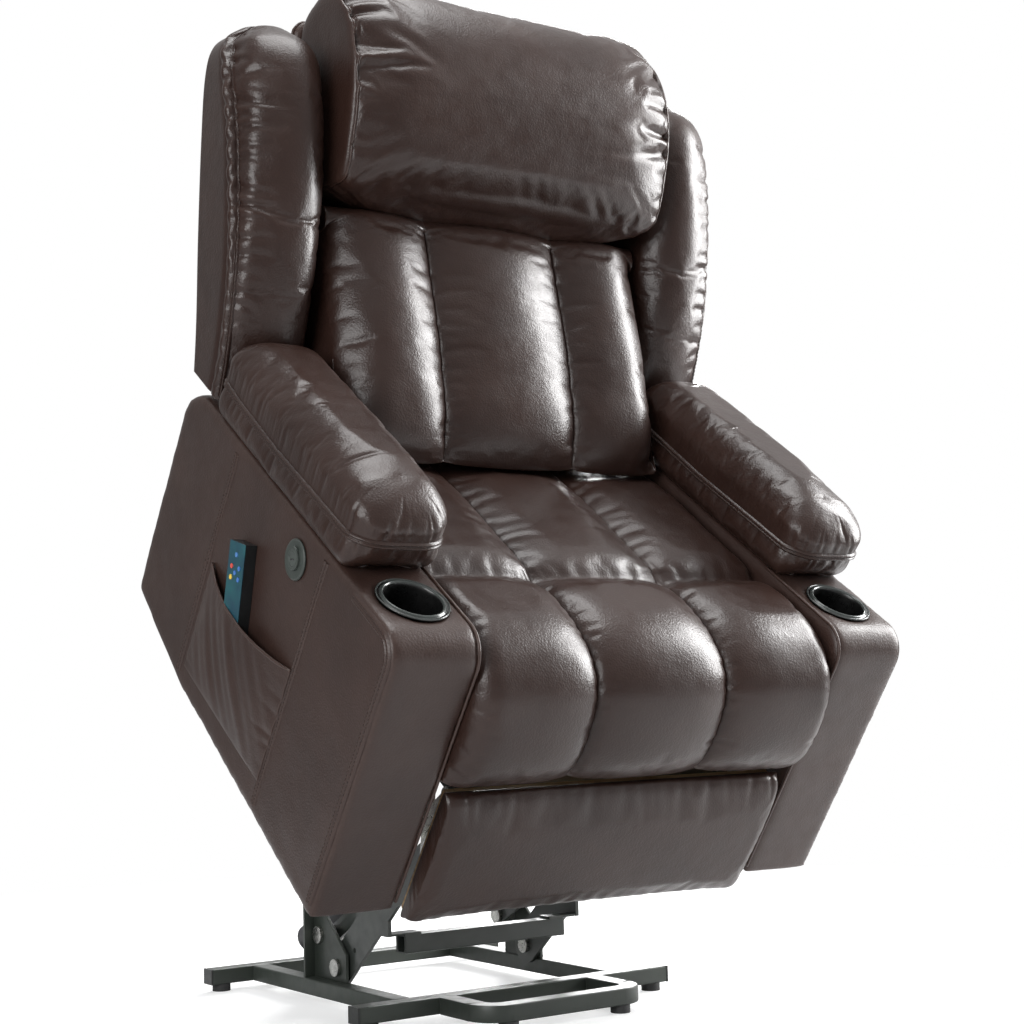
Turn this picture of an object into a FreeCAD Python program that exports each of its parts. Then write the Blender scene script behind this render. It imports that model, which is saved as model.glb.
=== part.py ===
import FreeCAD, Part
import math
import os
import re
import Sketcher
from FreeCAD import Placement, Rotation, Vector

# A power lift recliner armchair, in millimetres. It is modelled as it stands when the
# lift mechanism has raised it and tipped it forward. X runs across the chair, Y to its
# back and Z up, and the floor is at Z = 0. "Left" is the side at negative X.
#
# The seat, arms and carriage are laid out in the chair's own frame, whose origin is the
# front bottom edge of the arms: Y runs back and Z up before the chair is tipped. The
# backrest has a frame of its own too, with Z along its lean and Y to its rear.

DIMENSIONS = [
    # overall layout
    ("overall_width", 900.0, "over the arms"),
    ("seat_gap", 632.0, "between the arms"),
    ("arm_depth", 735.0, "front to back"),
    ("deck_height", 438.0, "top of the arms under their pads"),
    ("arm_front_round", 48.0, "radius of the arms' front top edge"),
    ("arm_rear_round", 60.0, "radius of the arms' rear top edge"),
    ("arm_knee", 515.0, "where the bottom edge turns up to the rear"),
    ("arm_knee_rise", 26.0, "height of that turn"),
    ("arm_rear_rise", 68.0, "height of the bottom rear corner"),
    ("tilt_raised", 35.0, "forward tilt with the lift raised, degrees"),
    ("raised_forward", 426.6, "front bottom edge ahead of the datum, raised"),
    ("raised_height", 189.7, "front bottom edge above the floor, raised"),
    ("lowered_height", 38.0, "front bottom edge above the floor, seated"),
    ("datum_setback", 206.0, "lift frame datum behind the origin"),
    ("soft_gap", 0.3, "between a soft piece and what carries it"),
    # lift frame on the floor
    ("tube_width", 30.0, "frame tubes"),
    ("tube_height", 25.0, "frame tubes"),
    ("tube_wall", 2.5, "frame tubes"),
    ("foot_height", 12.0, ""),
    ("foot_radius", 15.0, ""),
    ("foot_inset", 22.0, "foot axis from the end of a crossbar"),
    ("crossbar_half", 284.0, "half length of both crossbars"),
    ("cap_thickness", 3.0, "plastic end caps"),
    ("rail_outer", 211.0, "outer faces of the side rails from the middle"),
    ("base_rear", 250.0, "rear face behind the datum"),
    ("base_front", 270.0, "front crossbar's face ahead of the datum"),
    ("loop_front", 397.0, "front loop's face ahead of the datum"),
    ("loop_half", 150.0, "half width of the front loop"),
    ("loop_corner", 48.0, "outer radius of the loop's corners"),
    # lift linkage
    ("plate_thickness", 5.0, "brackets"),
    ("flange_width", 18.0, "bracket's turned rear edge"),
    ("pivot_ahead", 30.0, "lower pivot ahead of the datum"),
    ("pivot_height", 58.0, "lower pivot above the floor"),
    ("bracket_face", 189.0, "brackets' outer faces from the middle"),
    ("bracket_front", 30.0, "bracket's front edge ahead of the lower pivot"),
    ("bracket_rear", 76.0, "bracket's rear edge behind the lower pivot"),
    ("bracket_top", 108.0, "bracket's top above the lower pivot"),
    ("bracket_nose", 23.0, "height of the nose above the lower pivot"),
    ("bracket_shoulder", 66.0, "start of the top edge behind the lower pivot"),
    ("bolt_radius", 8.0, "pivot bolts"),
    ("running_gap", 0.08, "radial play of pins and bolts"),
    ("link_thickness", 6.0, "lift arms and rear links"),
    ("arm_face", 174.0, "inner face of the lift arms from the middle"),
    ("link_face", 157.0, "inner face of the rear links from the middle"),
    ("lift_arm_radius", 30.0, "half width of the lift arms"),
    ("elbow_reach", 210.0, "lower pivot to the arms' elbow"),
    ("elbow_angle", 140.0, "direction of the elbow from the lower pivot"),
    ("upper_pivot_back", 70.0, "upper pivot from the chair's front"),
    ("upper_pivot_up", 45.0, "upper pivot above the arms' bottom edge"),
    ("link_pivot_back", 130.0, "rear link's upper end from the chair's front"),
    ("link_pivot_up", 40.0, "rear link's upper end above the arms' bottom"),
    ("link_base_back", 25.0, "rear link's lower pivot behind the datum"),
    ("link_radius", 14.0, "half width of the rear links"),
    ("link_eye", 20.0, "radius of the rear links' upper eye"),
    ("link_play", 8.0, "radial play in that eye"),
    ("lift_bar_side", 28.0, "square tube between the lift arms"),
    ("bar_tab", 4.0, "thickness of the tabs that join it to the arms"),
    ("lift_bar_half", 150.0, "half length of that tube"),
    ("lift_bar_back", 133.0, "ahead of the lower pivot"),
    ("lift_bar_up", 46.0, "above the lower pivot"),
    # carriage under the seat
    ("rail_inner", 222.0, "carriage rails from the middle"),
    ("rail_width", 20.0, ""),
    ("rail_height", 30.0, ""),
    ("rail_bottom", 145.0, "above the arms' bottom edge"),
    ("rail_front", 50.0, ""),
    ("rail_rear", 722.0, ""),
    ("cross_wall", 2.5, "carriage tubes"),
    ("cross_depth", 30.0, "front to back size of the cross tubes"),
    ("first_cross", 54.0, "front faces of the cross tubes"),
    ("second_cross", 138.0, ""),
    ("motor_cross", 364.0, ""),
    ("rear_cross", 690.0, ""),
    ("lug_thickness", 4.0, ""),
    ("lug_face", 166.0, "inner face of the lugs from the middle"),
    ("post_width", 34.0, "uprights that carry the seat frame"),
    ("seat_frame_bottom", 245.0, ""),
    ("seat_frame_height", 30.0, ""),
    ("seat_frame_half", 294.0, ""),
    ("seat_frame_front", 18.0, ""),
    ("seat_frame_rear", 548.0, ""),
    ("seat_frame_wood", 24.0, "width of the frame's members"),
    ("strap_thickness", 3.0, "webbing"),
    ("strap_width", 50.0, ""),
    ("strap_pitch", 82.0, ""),
    # actuators
    ("lift_offset", 50.0, "lift motor to the left of the middle"),
    ("motor_pin_back", 235.0, "lift motor's pin behind the datum"),
    ("motor_pin_up", 62.0, "above the floor"),
    ("rod_pin_back", 150.0, "lift rod's pin from the chair's front"),
    ("rod_pin_up", 118.0, "above the arms' bottom edge"),
    ("rod_play", 0.6, "radial play in the lift rod's ears, past its drift"),
    ("pin_radius", 6.0, "clevis pins"),
    ("ear_thickness", 5.0, "clevis ears"),
    ("eye_width", 30.0, "motor eyes"),
    ("eye_radius", 13.0, ""),
    ("ear_gap", 1.0, "between an eye and its ears"),
    ("gearbox_length", 66.0, ""),
    ("gearbox_half", 27.0, ""),
    ("motor_radius", 25.0, ""),
    ("motor_length", 150.0, ""),
    ("motor_offset", 53.0, ""),
    ("tube_radius", 18.0, "actuator tube"),
    ("tube_bore", 14.0, ""),
    ("rod_radius", 10.0, ""),
    ("rod_eye_width", 20.0, ""),
    ("lift_tube_end", 470.0, "from the motor's pin"),
    ("lift_rod_start", 425.0, "from the motor's pin, raised"),
    ("recline_pin_back", 412.0, "recline motor's pin from the chair's front"),
    ("recline_pin_up", 160.0, ""),
    ("recline_offset", 100.0, "recline motor from the middle"),
    ("recline_tube_end", 196.0, ""),
    ("recline_rod_start", 176.0, ""),
    ("recline_angle", 40.0, "how far the backrest reclines, degrees"),
    ("crank_back", 47.0, "crank pin behind the backrest's rear plane"),
    ("crank_down", 49.0, "crank pin below the backrest's datum"),
    # footrest
    ("bar_length", 170.0, "scissor bars between pivots"),
    ("bar_radius", 11.0, ""),
    ("bar_thickness", 5.0, ""),
    ("inner_bar_face", 245.0, "inner face of the inner bars"),
    ("outer_bar_face", 253.0, "inner face of the outer bars"),
    ("bar_fold", 65.0, "bars' slope with the footrest in, degrees"),
    ("bar_pin", 5.0, "radius of the scissor pins"),
    ("board_pivot_back", 46.0, "board's hinge from the chair's front"),
    ("board_pivot_up", 160.0, ""),
    ("board_front", 10.0, ""),
    ("board_thickness", 12.0, ""),
    ("board_bottom", -13.0, ""),
    ("board_top", 189.0, ""),
    ("board_half", 290.0, ""),
    ("footrest_bottom", -18.0, ""),
    ("footrest_top", 197.0, ""),
    ("footrest_half", 298.0, ""),
    ("footrest_face", 22.0, "pad's face ahead of the arms"),
    # seat cushion
    ("seat_side_gap", 0.4, "between the seat cushion and the arms"),
    ("seat_rear", 556.0, ""),
    ("seat_top", 432.0, ""),
    ("seat_rear_top", 418.0, ""),
    ("seat_crease", 205.0, "from the front"),
    ("seat_nose", 36.0, "bulge ahead of the arms"),
    ("seat_lip", 212.0, "height of the cushion's front lower edge"),
    ("channel_half", 115.0, "half width of the middle channel"),
    ("channel_depth", 18.0, "depth of the seams between channels"),
    # backrest
    ("lean", 27.4, "backrest's lean with the chair upright, degrees"),
    ("back_datum_back", 661.0, "rear plane of the backrest"),
    ("back_datum_up", 300.0, ""),
    ("hinge_back", 660.0, "backrest's hinge"),
    ("hinge_up", 330.0, ""),
    ("hinge_pin", 6.0, ""),
    ("hinge_thickness", 5.0, ""),
    ("back_frame_half", 288.0, ""),
    ("back_frame_wood", 26.0, ""),
    ("back_frame_depth", 32.0, ""),
    ("back_frame_bottom", -38.0, ""),
    ("back_frame_top", 425.0, ""),
    ("shell_thickness", 12.0, ""),
    ("shell_half", 425.0, ""),
    ("shell_top", 735.0, ""),
    ("shell_step", 172.0, "where the shell widens behind the wings"),
    ("shell_shoulder", 652.0, "where it narrows again behind the head pillow"),
    ("back_cushion_half", 296.0, ""),
    ("back_channel_half", 122.0, "half width of the back's middle channel"),
    ("back_cushion_top", 432.0, ""),
    ("lumbar_bulge", 232.0, "in front of the rear plane"),
    ("pillow_half", 302.0, ""),
    ("pillow_bottom", 437.0, ""),
    ("pillow_top", 781.0, ""),
    ("pillow_bulge", 214.0, "in front of the rear plane"),
    ("wing_inner", 308.0, ""),
    ("wing_outer", 448.0, ""),
    ("wing_gap", 10.0, "wings' lower end above the top of the arms"),
    ("wing_top", 690.0, "along the lean"),
    ("wing_bulge", 166.0, "in front of the rear plane"),
    ("puck_radius", 30.0, "vibration motors"),
    ("puck_height", 20.0, ""),
    # arm furniture
    ("pad_outer", 461.0, ""),
    ("pad_inner", 303.0, ""),
    ("pad_rear", 634.0, ""),
    ("pad_front", 172.0, "where the pad leaves the deck"),
    ("pad_nose", 143.0, "front of the pad's overhang"),
    ("pad_top", 568.0, ""),
    ("cup_offset", 380.0, "cup holders from the middle"),
    ("cup_back", 100.0, ""),
    ("cup_bore", 40.0, "radius"),
    ("cup_wall", 2.0, ""),
    ("cup_depth", 74.0, ""),
    ("cup_rim", 51.0, "radius"),
    ("cup_rim_height", 4.0, ""),
    ("port_back", 290.0, ""),
    ("port_drop", 53.0, "port's axis below the top of the arms"),
    ("port_radius", 29.0, ""),
    ("port_body_radius", 20.0, ""),
    ("port_depth", 22.0, ""),
    ("port_proud", 4.0, ""),
    ("flap_radius", 15.0, ""),
    ("flap_thickness", 2.0, ""),
    ("pocket_front", 215.0, ""),
    ("pocket_rear", 512.0, ""),
    ("pocket_bottom", 66.0, ""),
    ("pocket_top", 250.0, ""),
    ("pocket_sheet", 2.2, ""),
    ("handset_length", 160.0, ""),
    ("handset_width", 50.0, ""),
    ("handset_depth", 18.0, ""),
    ("handset_lean", 20.0, "degrees"),
    ("handset_top_back", 424.0, ""),
    ("handset_top_up", 333.0, ""),
    ("handset_gap", 0.6, "to the pocket and the arm"),
    ("key_radius", 3.6, ""),
    ("key_proud", 0.9, ""),
    ("key_travel", 1.0, ""),
]

doc = FreeCAD.newDocument("lift_recliner")
nodes = []


def fill_sheet():
    """Write the driving dimensions into the spreadsheet, one alias to a row."""
    sheet = doc.addObject("Spreadsheet::Sheet", "dims")
    for row, (alias, value, note) in enumerate(DIMENSIONS, start=1):
        sheet.set(f"A{row}", alias)
        sheet.set(f"B{row}", str(value))
        sheet.set(f"C{row}", note)
        sheet.setAlias(f"B{row}", alias)
    doc.recompute()
    return sheet


dims = fill_sheet()
ALIASES = {alias for alias, _, _ in DIMENSIONS}


def size(alias):
    """The plain number that the sheet holds under an alias."""
    return float(dims.get(alias))


def with_names(formula, written):
    """The formula with each alias in it written another way."""
    return re.sub(r"[a-z_]+", lambda m: written(m.group(0)) if m.group(0) in ALIASES else m.group(0), formula)


def bind(thing, prop, formula):
    """Bind a property to a formula over the sheet's aliases."""
    thing.setExpression(prop, with_names(formula, lambda alias: "dims." + alias))


def box(name, x, y, z):
    """A block; each axis is (low side, size), both formulas."""
    block = doc.addObject("Part::Box", name)
    for axis, prop, (low, length) in zip("xyz", ("Length", "Width", "Height"), (x, y, z)):
        bind(block, prop, length)
        bind(block, "Placement.Base." + axis, low)
    return block


TURNS = {"x": Rotation(Vector(0, 1, 0), 90), "y": Rotation(Vector(1, 0, 0), -90), "z": Rotation()}


def cylinder(name, radius, length, base, axis="x"):
    """A round bar from its base point along an axis; all sizes are formulas."""
    bar = doc.addObject("Part::Cylinder", name)
    bar.Placement = Placement(Vector(), TURNS[axis])
    bind(bar, "Radius", radius)
    bind(bar, "Height", length)
    for letter, formula in zip("xyz", base):
        bind(bar, "Placement.Base." + letter, formula)
    return bar


def fuse(name, parts):
    union = doc.addObject("Part::MultiFuse", name)
    union.Shapes = parts
    return union


def cut(name, base, tools):
    """The base less every tool."""
    result = doc.addObject("Part::Cut", name)
    result.Base = base
    result.Tool = tools[0] if len(tools) == 1 else fuse(name + "_tools", tools)
    return result


def mirror(name, source):
    """The other side's copy, mirrored across the chair's middle plane."""
    copy = doc.addObject("Part::Mirroring", name)
    copy.Source = source
    copy.Base = Vector()
    copy.Normal = Vector(1, 0, 0)
    return copy


def pair(name, source):
    """Both sides' copies in one sub-part."""
    both = doc.addObject("Part::Compound", name)
    both.Links = [source, mirror(name + "_mirrored", source)]
    return both


def group(name, parts):
    both = doc.addObject("Part::Compound", name)
    both.Links = parts
    return both


def feature(name, solid):
    """A sub-part whose form is worked out here from the sheet's sizes."""
    thing = doc.addObject("Part::Feature", name)
    thing.Shape = solid
    return thing


def keep(thing, label, place=None):
    """Name a finished sub-part, put it in place and list it for export."""
    thing.Label = label
    if place is not None:
        thing.Placement = place
    nodes.append(thing)
    return thing


def plate(name, corners, low, thickness):
    """A flat plate across X: a constrained outline in Y and Z, padded along X."""
    body = doc.addObject("PartDesign::Body", name)
    plane = next(item for item in body.Origin.OriginFeatures if item.Role == "YZ_Plane")
    sketch = body.newObject("Sketcher::SketchObject", name + "_outline")
    sketch.AttachmentSupport = [(plane, "")]
    sketch.MapMode = "FlatFace"
    bind(sketch, "AttachmentOffset.Base.z", low)
    spots = [Vector(*(value_of(formula) for formula in corner), 0) for corner in corners]
    count = len(spots)
    for index in range(count):
        sketch.addGeometry(Part.LineSegment(spots[index], spots[(index + 1) % count]))
    for index in range(count):
        sketch.addConstraint(Sketcher.Constraint("Coincident", index, 2, (index + 1) % count, 1))
    for index, corner in enumerate(corners):
        for axis, kind, formula, number in zip((-2, -1), ("DistanceX", "DistanceY"), corner, spots[index]):
            if formula == "0":
                sketch.addConstraint(Sketcher.Constraint("PointOnObject", index, 1, axis))
                continue
            mark = sketch.addConstraint(Sketcher.Constraint(kind, -1, 1, index, 1, number))
            bind(sketch, f"Constraints[{mark}]", formula)
    pad = body.newObject("PartDesign::Pad", name + "_pad")
    pad.Profile = sketch
    bind(pad, "Length", thickness)
    body.Tip = pad
    return body


def value_of(formula):
    """A formula's number with the sheet's present sizes."""
    plain = with_names(formula, lambda alias: str(size(alias)))
    number = FreeCAD.Units.parseQuantity(plain)
    return number.Value


# Frames

tilt = size("tilt_raised")
datum = size("datum_setback")
chair = Placement(Vector(0, datum - size("raised_forward"), size("raised_height")),
                  Rotation(Vector(1, 0, 0), tilt))
lean = size("lean")
back_local = Placement(Vector(0, size("back_datum_back"), size("back_datum_up")),
                       Rotation(Vector(1, 0, 0), -lean))
backrest = chair.multiply(back_local)


def polar(length, degrees):
    """A vector in the Y-Z plane, its direction measured from +Y towards +Z."""
    angle = math.radians(degrees)
    return Vector(0, length * math.cos(angle), length * math.sin(angle))


def direction(vector):
    return math.degrees(math.atan2(vector.z, vector.y)) % 360.0


# Pivots of the lift linkage. The chair's seated place follows from the lift arms' length:
# they swing down until the carriage is level at its seated height.

lower_pivot = Vector(0, datum - size("pivot_ahead"), size("pivot_height"))
upper_local = Vector(0, size("upper_pivot_back"), size("upper_pivot_up"))
upper_pivot = chair.multVec(upper_local)
lift_arm = upper_pivot - lower_pivot
seated_up = size("lowered_height") + size("upper_pivot_up") - size("pivot_height")
seated_ahead = math.sqrt(lift_arm.Length ** 2 - seated_up ** 2)
seated_arm = Vector(0, -seated_ahead, seated_up)
lift_arm_turn = direction(seated_arm) - direction(lift_arm)
seated = Placement(lower_pivot + seated_arm - upper_local, Rotation())

link_local = Vector(0, size("link_pivot_back"), size("link_pivot_up"))
link_top = chair.multVec(link_local)
link_top_seated = seated.multVec(link_local)


def link_base():
    """The lower pivot of the rear links, as far from both end places of their upper ends."""
    back = datum + size("link_base_back")
    shift = link_top - link_top_seated
    half = (link_top.Length ** 2 - link_top_seated.Length ** 2) / 2.0
    return Vector(0, back, (half - back * shift.y) / shift.z)


link_pivot = link_base()
link_turn = direction(link_top_seated - link_pivot) - direction(link_top - link_pivot)

motor_pin = Vector(-size("lift_offset"), datum + size("motor_pin_back"), size("motor_pin_up"))
rod_local = Vector(-size("lift_offset"), size("rod_pin_back"), size("rod_pin_up"))
rod_pin = chair.multVec(rod_local)
rod_pin_seated = seated.multVec(rod_local)


def rod_drift():
    """How far the rod's eye is from its place in the carriage halfway up, in the chair's frame."""
    arm_way = direction(lift_arm) + lift_arm_turn / 2.0
    tipped = Rotation(Vector(1, 0, 0), tilt / 2.0)
    carriage = lower_pivot + polar(lift_arm.Length, arm_way) + tipped.multVec(rod_local - upper_local)
    raised = rod_pin - motor_pin
    lowered = rod_pin_seated - motor_pin
    length = (raised.Length + lowered.Length) / 2.0
    eye = motor_pin + polar(length, (direction(raised) + direction(lowered)) / 2.0)
    eye.x = carriage.x
    return tipped.inverted().multVec(eye - carriage)

hinge_local = Vector(0, size("hinge_back"), size("hinge_up"))
crank_local = back_local.multVec(Vector(0, size("crank_back"), -size("crank_down")))
recline_local = Vector(size("recline_offset"), size("recline_pin_back"), size("recline_pin_up"))

def crank_drift():
    """How far the recline rod's eye is from the crank's pin halfway, in the backrest's frame."""
    base = Vector(0, recline_local.y, recline_local.z)
    arm = crank_local - hinge_local
    half = Rotation(Vector(1, 0, 0), -size("recline_angle") / 2.0)
    far = hinge_local + Rotation(Vector(1, 0, 0), -size("recline_angle")).multVec(arm) - base
    near = crank_local - base
    eye = base + polar((near.Length + far.Length) / 2.0, (direction(near) + direction(far)) / 2.0)
    turned = half.inverted().multVec(eye - hinge_local - half.multVec(arm))
    return back_local.Rotation.inverted().multVec(turned)


# Scissor pivots in the chair's frame with the footrest in

board_pivot = Vector(0, size("board_pivot_back"), size("board_pivot_up"))
fall = polar(size("bar_length"), 180.0 + size("bar_fold"))
rise = polar(size("bar_length"), 180.0 - size("bar_fold"))
fixed_pivot = board_pivot - fall - rise
low_pivot = fixed_pivot + fall
high_pivot = fixed_pivot + (fall + rise) * 0.5
rear_low = fixed_pivot + (fall - rise) * 0.5
front_low = board_pivot + (fall - rise) * 0.5


# Solids worked out from the sheet's sizes


def disc(center, radius, low, thickness):
    """A round plate across X."""
    return Part.makeCylinder(radius, thickness, Vector(low, center.y, center.z), Vector(1, 0, 0))


def strap(start, end, radius, low, thickness):
    """A flat link across X with round ends at both pivots."""
    run = end - start
    side = Vector(0, -run.z, run.y)
    side.normalize()
    side = side * radius
    corners = [start + side, start - side, end - side, end + side]
    outline = Part.makePolygon([Vector(low, spot.y, spot.z) for spot in corners + corners[:1]])
    middle = Part.Face(outline).extrude(Vector(thickness, 0, 0))
    ends = [disc(start, radius, low, thickness), disc(end, radius, low, thickness)]
    return middle.multiFuse(ends).removeSplitter()


def hole(center, radius, low, thickness):
    return disc(center, radius, low - 1.0, thickness + 2.0)


def prism(corners, low, thickness):
    """A plate across X with an outline of (Y, Z) corners."""
    spots = [Vector(low, y, z) for y, z in corners]
    return Part.Face(Part.makePolygon(spots + spots[:1])).extrude(Vector(thickness, 0, 0))


def both_sides(solid):
    """The solid and its copy across the middle plane."""
    return Part.makeCompound([solid, solid.mirror(Vector(), Vector(1, 0, 0))])


def arc(start, middle, end):
    return Part.Arc(start, middle, end).toShape()


def line(start, end):
    return Part.LineSegment(start, end).toShape()


def outline(steps, spot):
    """A closed wire through steps of (corner) and (middle, corner), a middle making an arc."""
    corners = [step[-1] for step in steps]
    edges = []
    for index, step in enumerate(steps):
        start = spot(*corners[index - 1])
        end = spot(*step[-1])
        edges.append(line(start, end) if len(step) == 1 else arc(start, spot(*step[0]), end))
    return Part.Wire(edges)


def loft(wires, straight=False):
    """A solid through the wires, smooth or with straight runs between them."""
    return Part.makeLoft(wires, True, straight)


def joined(solids):
    return solids[0].multiFuse(solids[1:]).removeSplitter() if len(solids) > 1 else solids[0]


# The lift frame on the floor


def hollow_bar(name, x, y, z, along):
    """A rectangular tube: a block less its bore along one axis."""
    outer = box(name, x, y, z)
    inside = []
    for axis, (low, length) in zip("xyz", (x, y, z)):
        if axis == along:
            inside.append((f"{low} - 1", f"{length} + 2"))
        else:
            inside.append((f"{low} + tube_wall", f"{length} - 2 * tube_wall"))
    return cut(name + "_tube", outer, [box(name + "_bore", *inside)])


def build_base():
    across = ("-crossbar_half", "2 * crossbar_half")
    upright = ("foot_height", "tube_height")
    rear = hollow_bar("rear_bar", across, ("datum_setback + base_rear - tube_width", "tube_width"),
                      upright, "x")
    front = hollow_bar("front_bar", across, ("datum_setback - base_front", "tube_width"), upright, "x")
    keep(group("crossbars", [rear, front]), "base_crossbars")
    run = ("datum_setback - base_front + tube_width", "base_front + base_rear - 2 * tube_width")
    rail = hollow_bar("rail", ("rail_outer - tube_width", "tube_width"), run, upright, "y")
    keep(pair("rails", rail), "base_side_rails")
    keep(feature("loop", front_loop()), "base_front_loop")
    caps = []
    for index, centre in enumerate(("base_rear - tube_width", "-base_front")):
        cover = box(f"cap{index}", ("crossbar_half", "cap_thickness"),
                    (f"datum_setback + {centre}", "tube_width"), upright)
        plug = box(f"plug{index}", ("crossbar_half - 12", "12"),
                   (f"datum_setback + {centre} + tube_wall + 0.1", "tube_width - 2 * tube_wall - 0.2"),
                   ("foot_height + tube_wall + 0.1", "tube_height - 2 * tube_wall - 0.2"))
        caps.append(pair(f"caps{index}", fuse(f"cap_plug{index}", [cover, plug])))
    keep(group("caps", caps), "tube_end_caps")
    feet = []
    for index, (side, centre) in enumerate((
            ("crossbar_half - foot_inset", "base_rear - tube_width / 2"),
            ("crossbar_half - foot_inset", "-base_front + tube_width / 2"),
            ("loop_half - loop_corner", "-loop_front + tube_width / 2"))):
        foot = cylinder(f"foot{index}", "foot_radius", "foot_height",
                        (side, f"datum_setback + {centre}", "0"), "z")
        feet.append(pair(f"feet{index}", foot))
    keep(group("feet", feet), "floor_feet")


def front_loop():
    """The U-shaped tube ahead of the front crossbar."""
    half = size("loop_half")
    width = size("tube_width")
    corner = size("loop_corner")
    back = datum - size("base_front")
    front = datum - size("loop_front")
    low = size("foot_height")

    def u_shape(side, nose, radius):
        bend = radius * (1.0 - math.sqrt(0.5))

        def spot(x, y):
            return Vector(x, y, low)

        steps = [((-side, back),), ((-side, nose + radius),),
                 ((-side + bend, nose + bend), (-side + radius, nose)),
                 ((side - radius, nose),),
                 ((side - bend, nose + bend), (side, nose + radius)),
                 ((side, back),)]
        return Part.Face(outline(steps, spot)).extrude(Vector(0, 0, size("tube_height")))

    return u_shape(half, front, corner).cut(u_shape(half - width, front + width, corner - width))


def build_brackets():
    """The plates on the rails that carry the lift arms' and the rear links' pivots."""
    corners = [("datum_setback - pivot_ahead + bracket_rear", "foot_height + tube_height"),
               ("datum_setback - pivot_ahead + bracket_rear", "pivot_height + bracket_top"),
               ("datum_setback - pivot_ahead + bracket_shoulder", "pivot_height + bracket_top"),
               ("datum_setback - pivot_ahead - bracket_front", "pivot_height + bracket_nose"),
               ("datum_setback - pivot_ahead - bracket_front", "foot_height + tube_height")]
    sheet = plate("bracket", corners, "bracket_face - plate_thickness", "plate_thickness")
    flange = box("flange", ("bracket_face", "flange_width"),
                 ("datum_setback - pivot_ahead + bracket_rear - plate_thickness", "plate_thickness"),
                 ("foot_height + tube_height", "bracket_top + pivot_height - foot_height - tube_height"))
    bolt_hole = cylinder("bracket_hole", "bolt_radius + running_gap", "plate_thickness + 4",
                         ("bracket_face - plate_thickness - 2", "datum_setback - pivot_ahead",
                          "pivot_height"))
    link_hole = feature("link_hole", disc(link_pivot, size("bolt_radius") + size("running_gap"),
                                          size("bracket_face") - size("plate_thickness") - 2.0, 9.0))
    right = cut("bracket_right", fuse("bracket_folded", [sheet, flange]), [bolt_hole, link_hole])
    keep(right, "pivot_bracket_right")
    keep(mirror("bracket_left", right), "pivot_bracket_left")


def bolt(center, low, high, head_low, nut_high):
    """A pivot bolt across X: its shank, its head outside and its nut inside."""
    radius = size("bolt_radius")
    shank = disc(center, radius, low, high - low)
    head = Part.makeCylinder(radius * 1.7, 5.0, Vector(head_low, center.y, center.z), Vector(1, 0, 0))
    nut = Part.makeCylinder(radius * 1.6, 6.0, Vector(nut_high - 6.0, center.y, center.z), Vector(1, 0, 0))
    return shank.multiFuse([head, nut]).removeSplitter()


def build_lower_bolts():
    outer = size("bracket_face") + 0.3
    thick = size("link_thickness")
    main_inner = size("arm_face") - 0.5
    link_inner = size("link_face") - 0.5
    main = bolt(lower_pivot, main_inner - 6.0, outer, outer, main_inner)
    link = bolt(link_pivot, link_inner - 6.0, outer, outer, link_inner)
    gap = size("bracket_face") - size("plate_thickness") - 0.2
    sleeve_main = disc(lower_pivot, size("bolt_radius") + 4.0, size("arm_face") + thick + 0.3,
                       gap - size("arm_face") - thick - 0.3)
    sleeve_link = disc(link_pivot, size("bolt_radius") + 4.0, size("link_face") + thick + 0.3,
                       gap - size("link_face") - thick - 0.3)
    bolts = [main.fuse(sleeve_main), link.fuse(sleeve_link)]
    keep(feature("lower_bolts", both_sides(Part.makeCompound(bolts))), "lower_pivot_bolts")


def build_lift_arms():
    """The cranked arms, the square tube that joins them and the actuator's ears."""
    face = size("arm_face")
    thick = size("link_thickness")
    radius = size("lift_arm_radius")
    elbow = lower_pivot + polar(size("elbow_reach"), size("elbow_angle"))
    bar = lower_pivot + Vector(0, -size("lift_bar_back"), size("lift_bar_up"))
    half = size("lift_bar_side") / 2.0
    tab = size("bar_tab")
    blade = strap(lower_pivot, elbow, radius, face, thick)
    blade = blade.fuse(strap(elbow, upper_pivot, radius, face, thick))
    web = prism([(bar.y - half, bar.z + half), (bar.y + half, bar.z + half),
                 (bar.y + half, bar.z + half + 46.0), (bar.y - half, bar.z + half + 46.0)], face, thick)
    blade = blade.fuse(web).removeSplitter()
    play = size("bolt_radius") + size("running_gap")
    blade = blade.cut(hole(lower_pivot, play, face, thick)).cut(hole(upper_pivot, play, face, thick))
    blade = blade.cut(hole(lower_pivot + Vector(0, -43.0, 30.0), 4.0, face, thick))
    right = keep(feature("arm_right", blade), "lift_arm_right")
    keep(mirror("arm_left", right), "lift_arm_left")

    wall = size("tube_wall")
    length = 2.0 * size("lift_bar_half")
    start = Vector(-length / 2.0, bar.y - half, bar.z - half)
    tube = Part.makeBox(length, 2.0 * half, 2.0 * half, start)
    bore = Part.makeBox(length + 2.0, 2.0 * (half - wall), 2.0 * (half - wall),
                        start + Vector(-1.0, wall, wall))
    tube = tube.cut(bore)
    tab_start = Vector(size("lift_bar_half") - 30.0, bar.y - half, bar.z + half)
    tab_plate = Part.makeBox(face - 0.2 - tab_start.x, 2.0 * half, tab, tab_start)
    whole = tube.multiFuse(both_sides(tab_plate).Solids).removeSplitter()
    keep(feature("lift_bar", whole), "lift_arm_crossbar")


def build_rear_links():
    face = size("link_face")
    thick = size("link_thickness")
    link = strap(link_pivot, link_top, size("link_radius"), face, thick)
    link = link.fuse(disc(link_top, size("link_eye"), face, thick)).removeSplitter()
    link = link.cut(hole(link_pivot, size("bolt_radius") + size("running_gap"), face, thick))
    link = link.cut(hole(link_top, size("pin_radius") + size("link_play"), face, thick))
    keep(feature("rear_links", both_sides(link)), "lift_rear_links")


# The carriage under the seat, in the chair's frame


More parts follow.
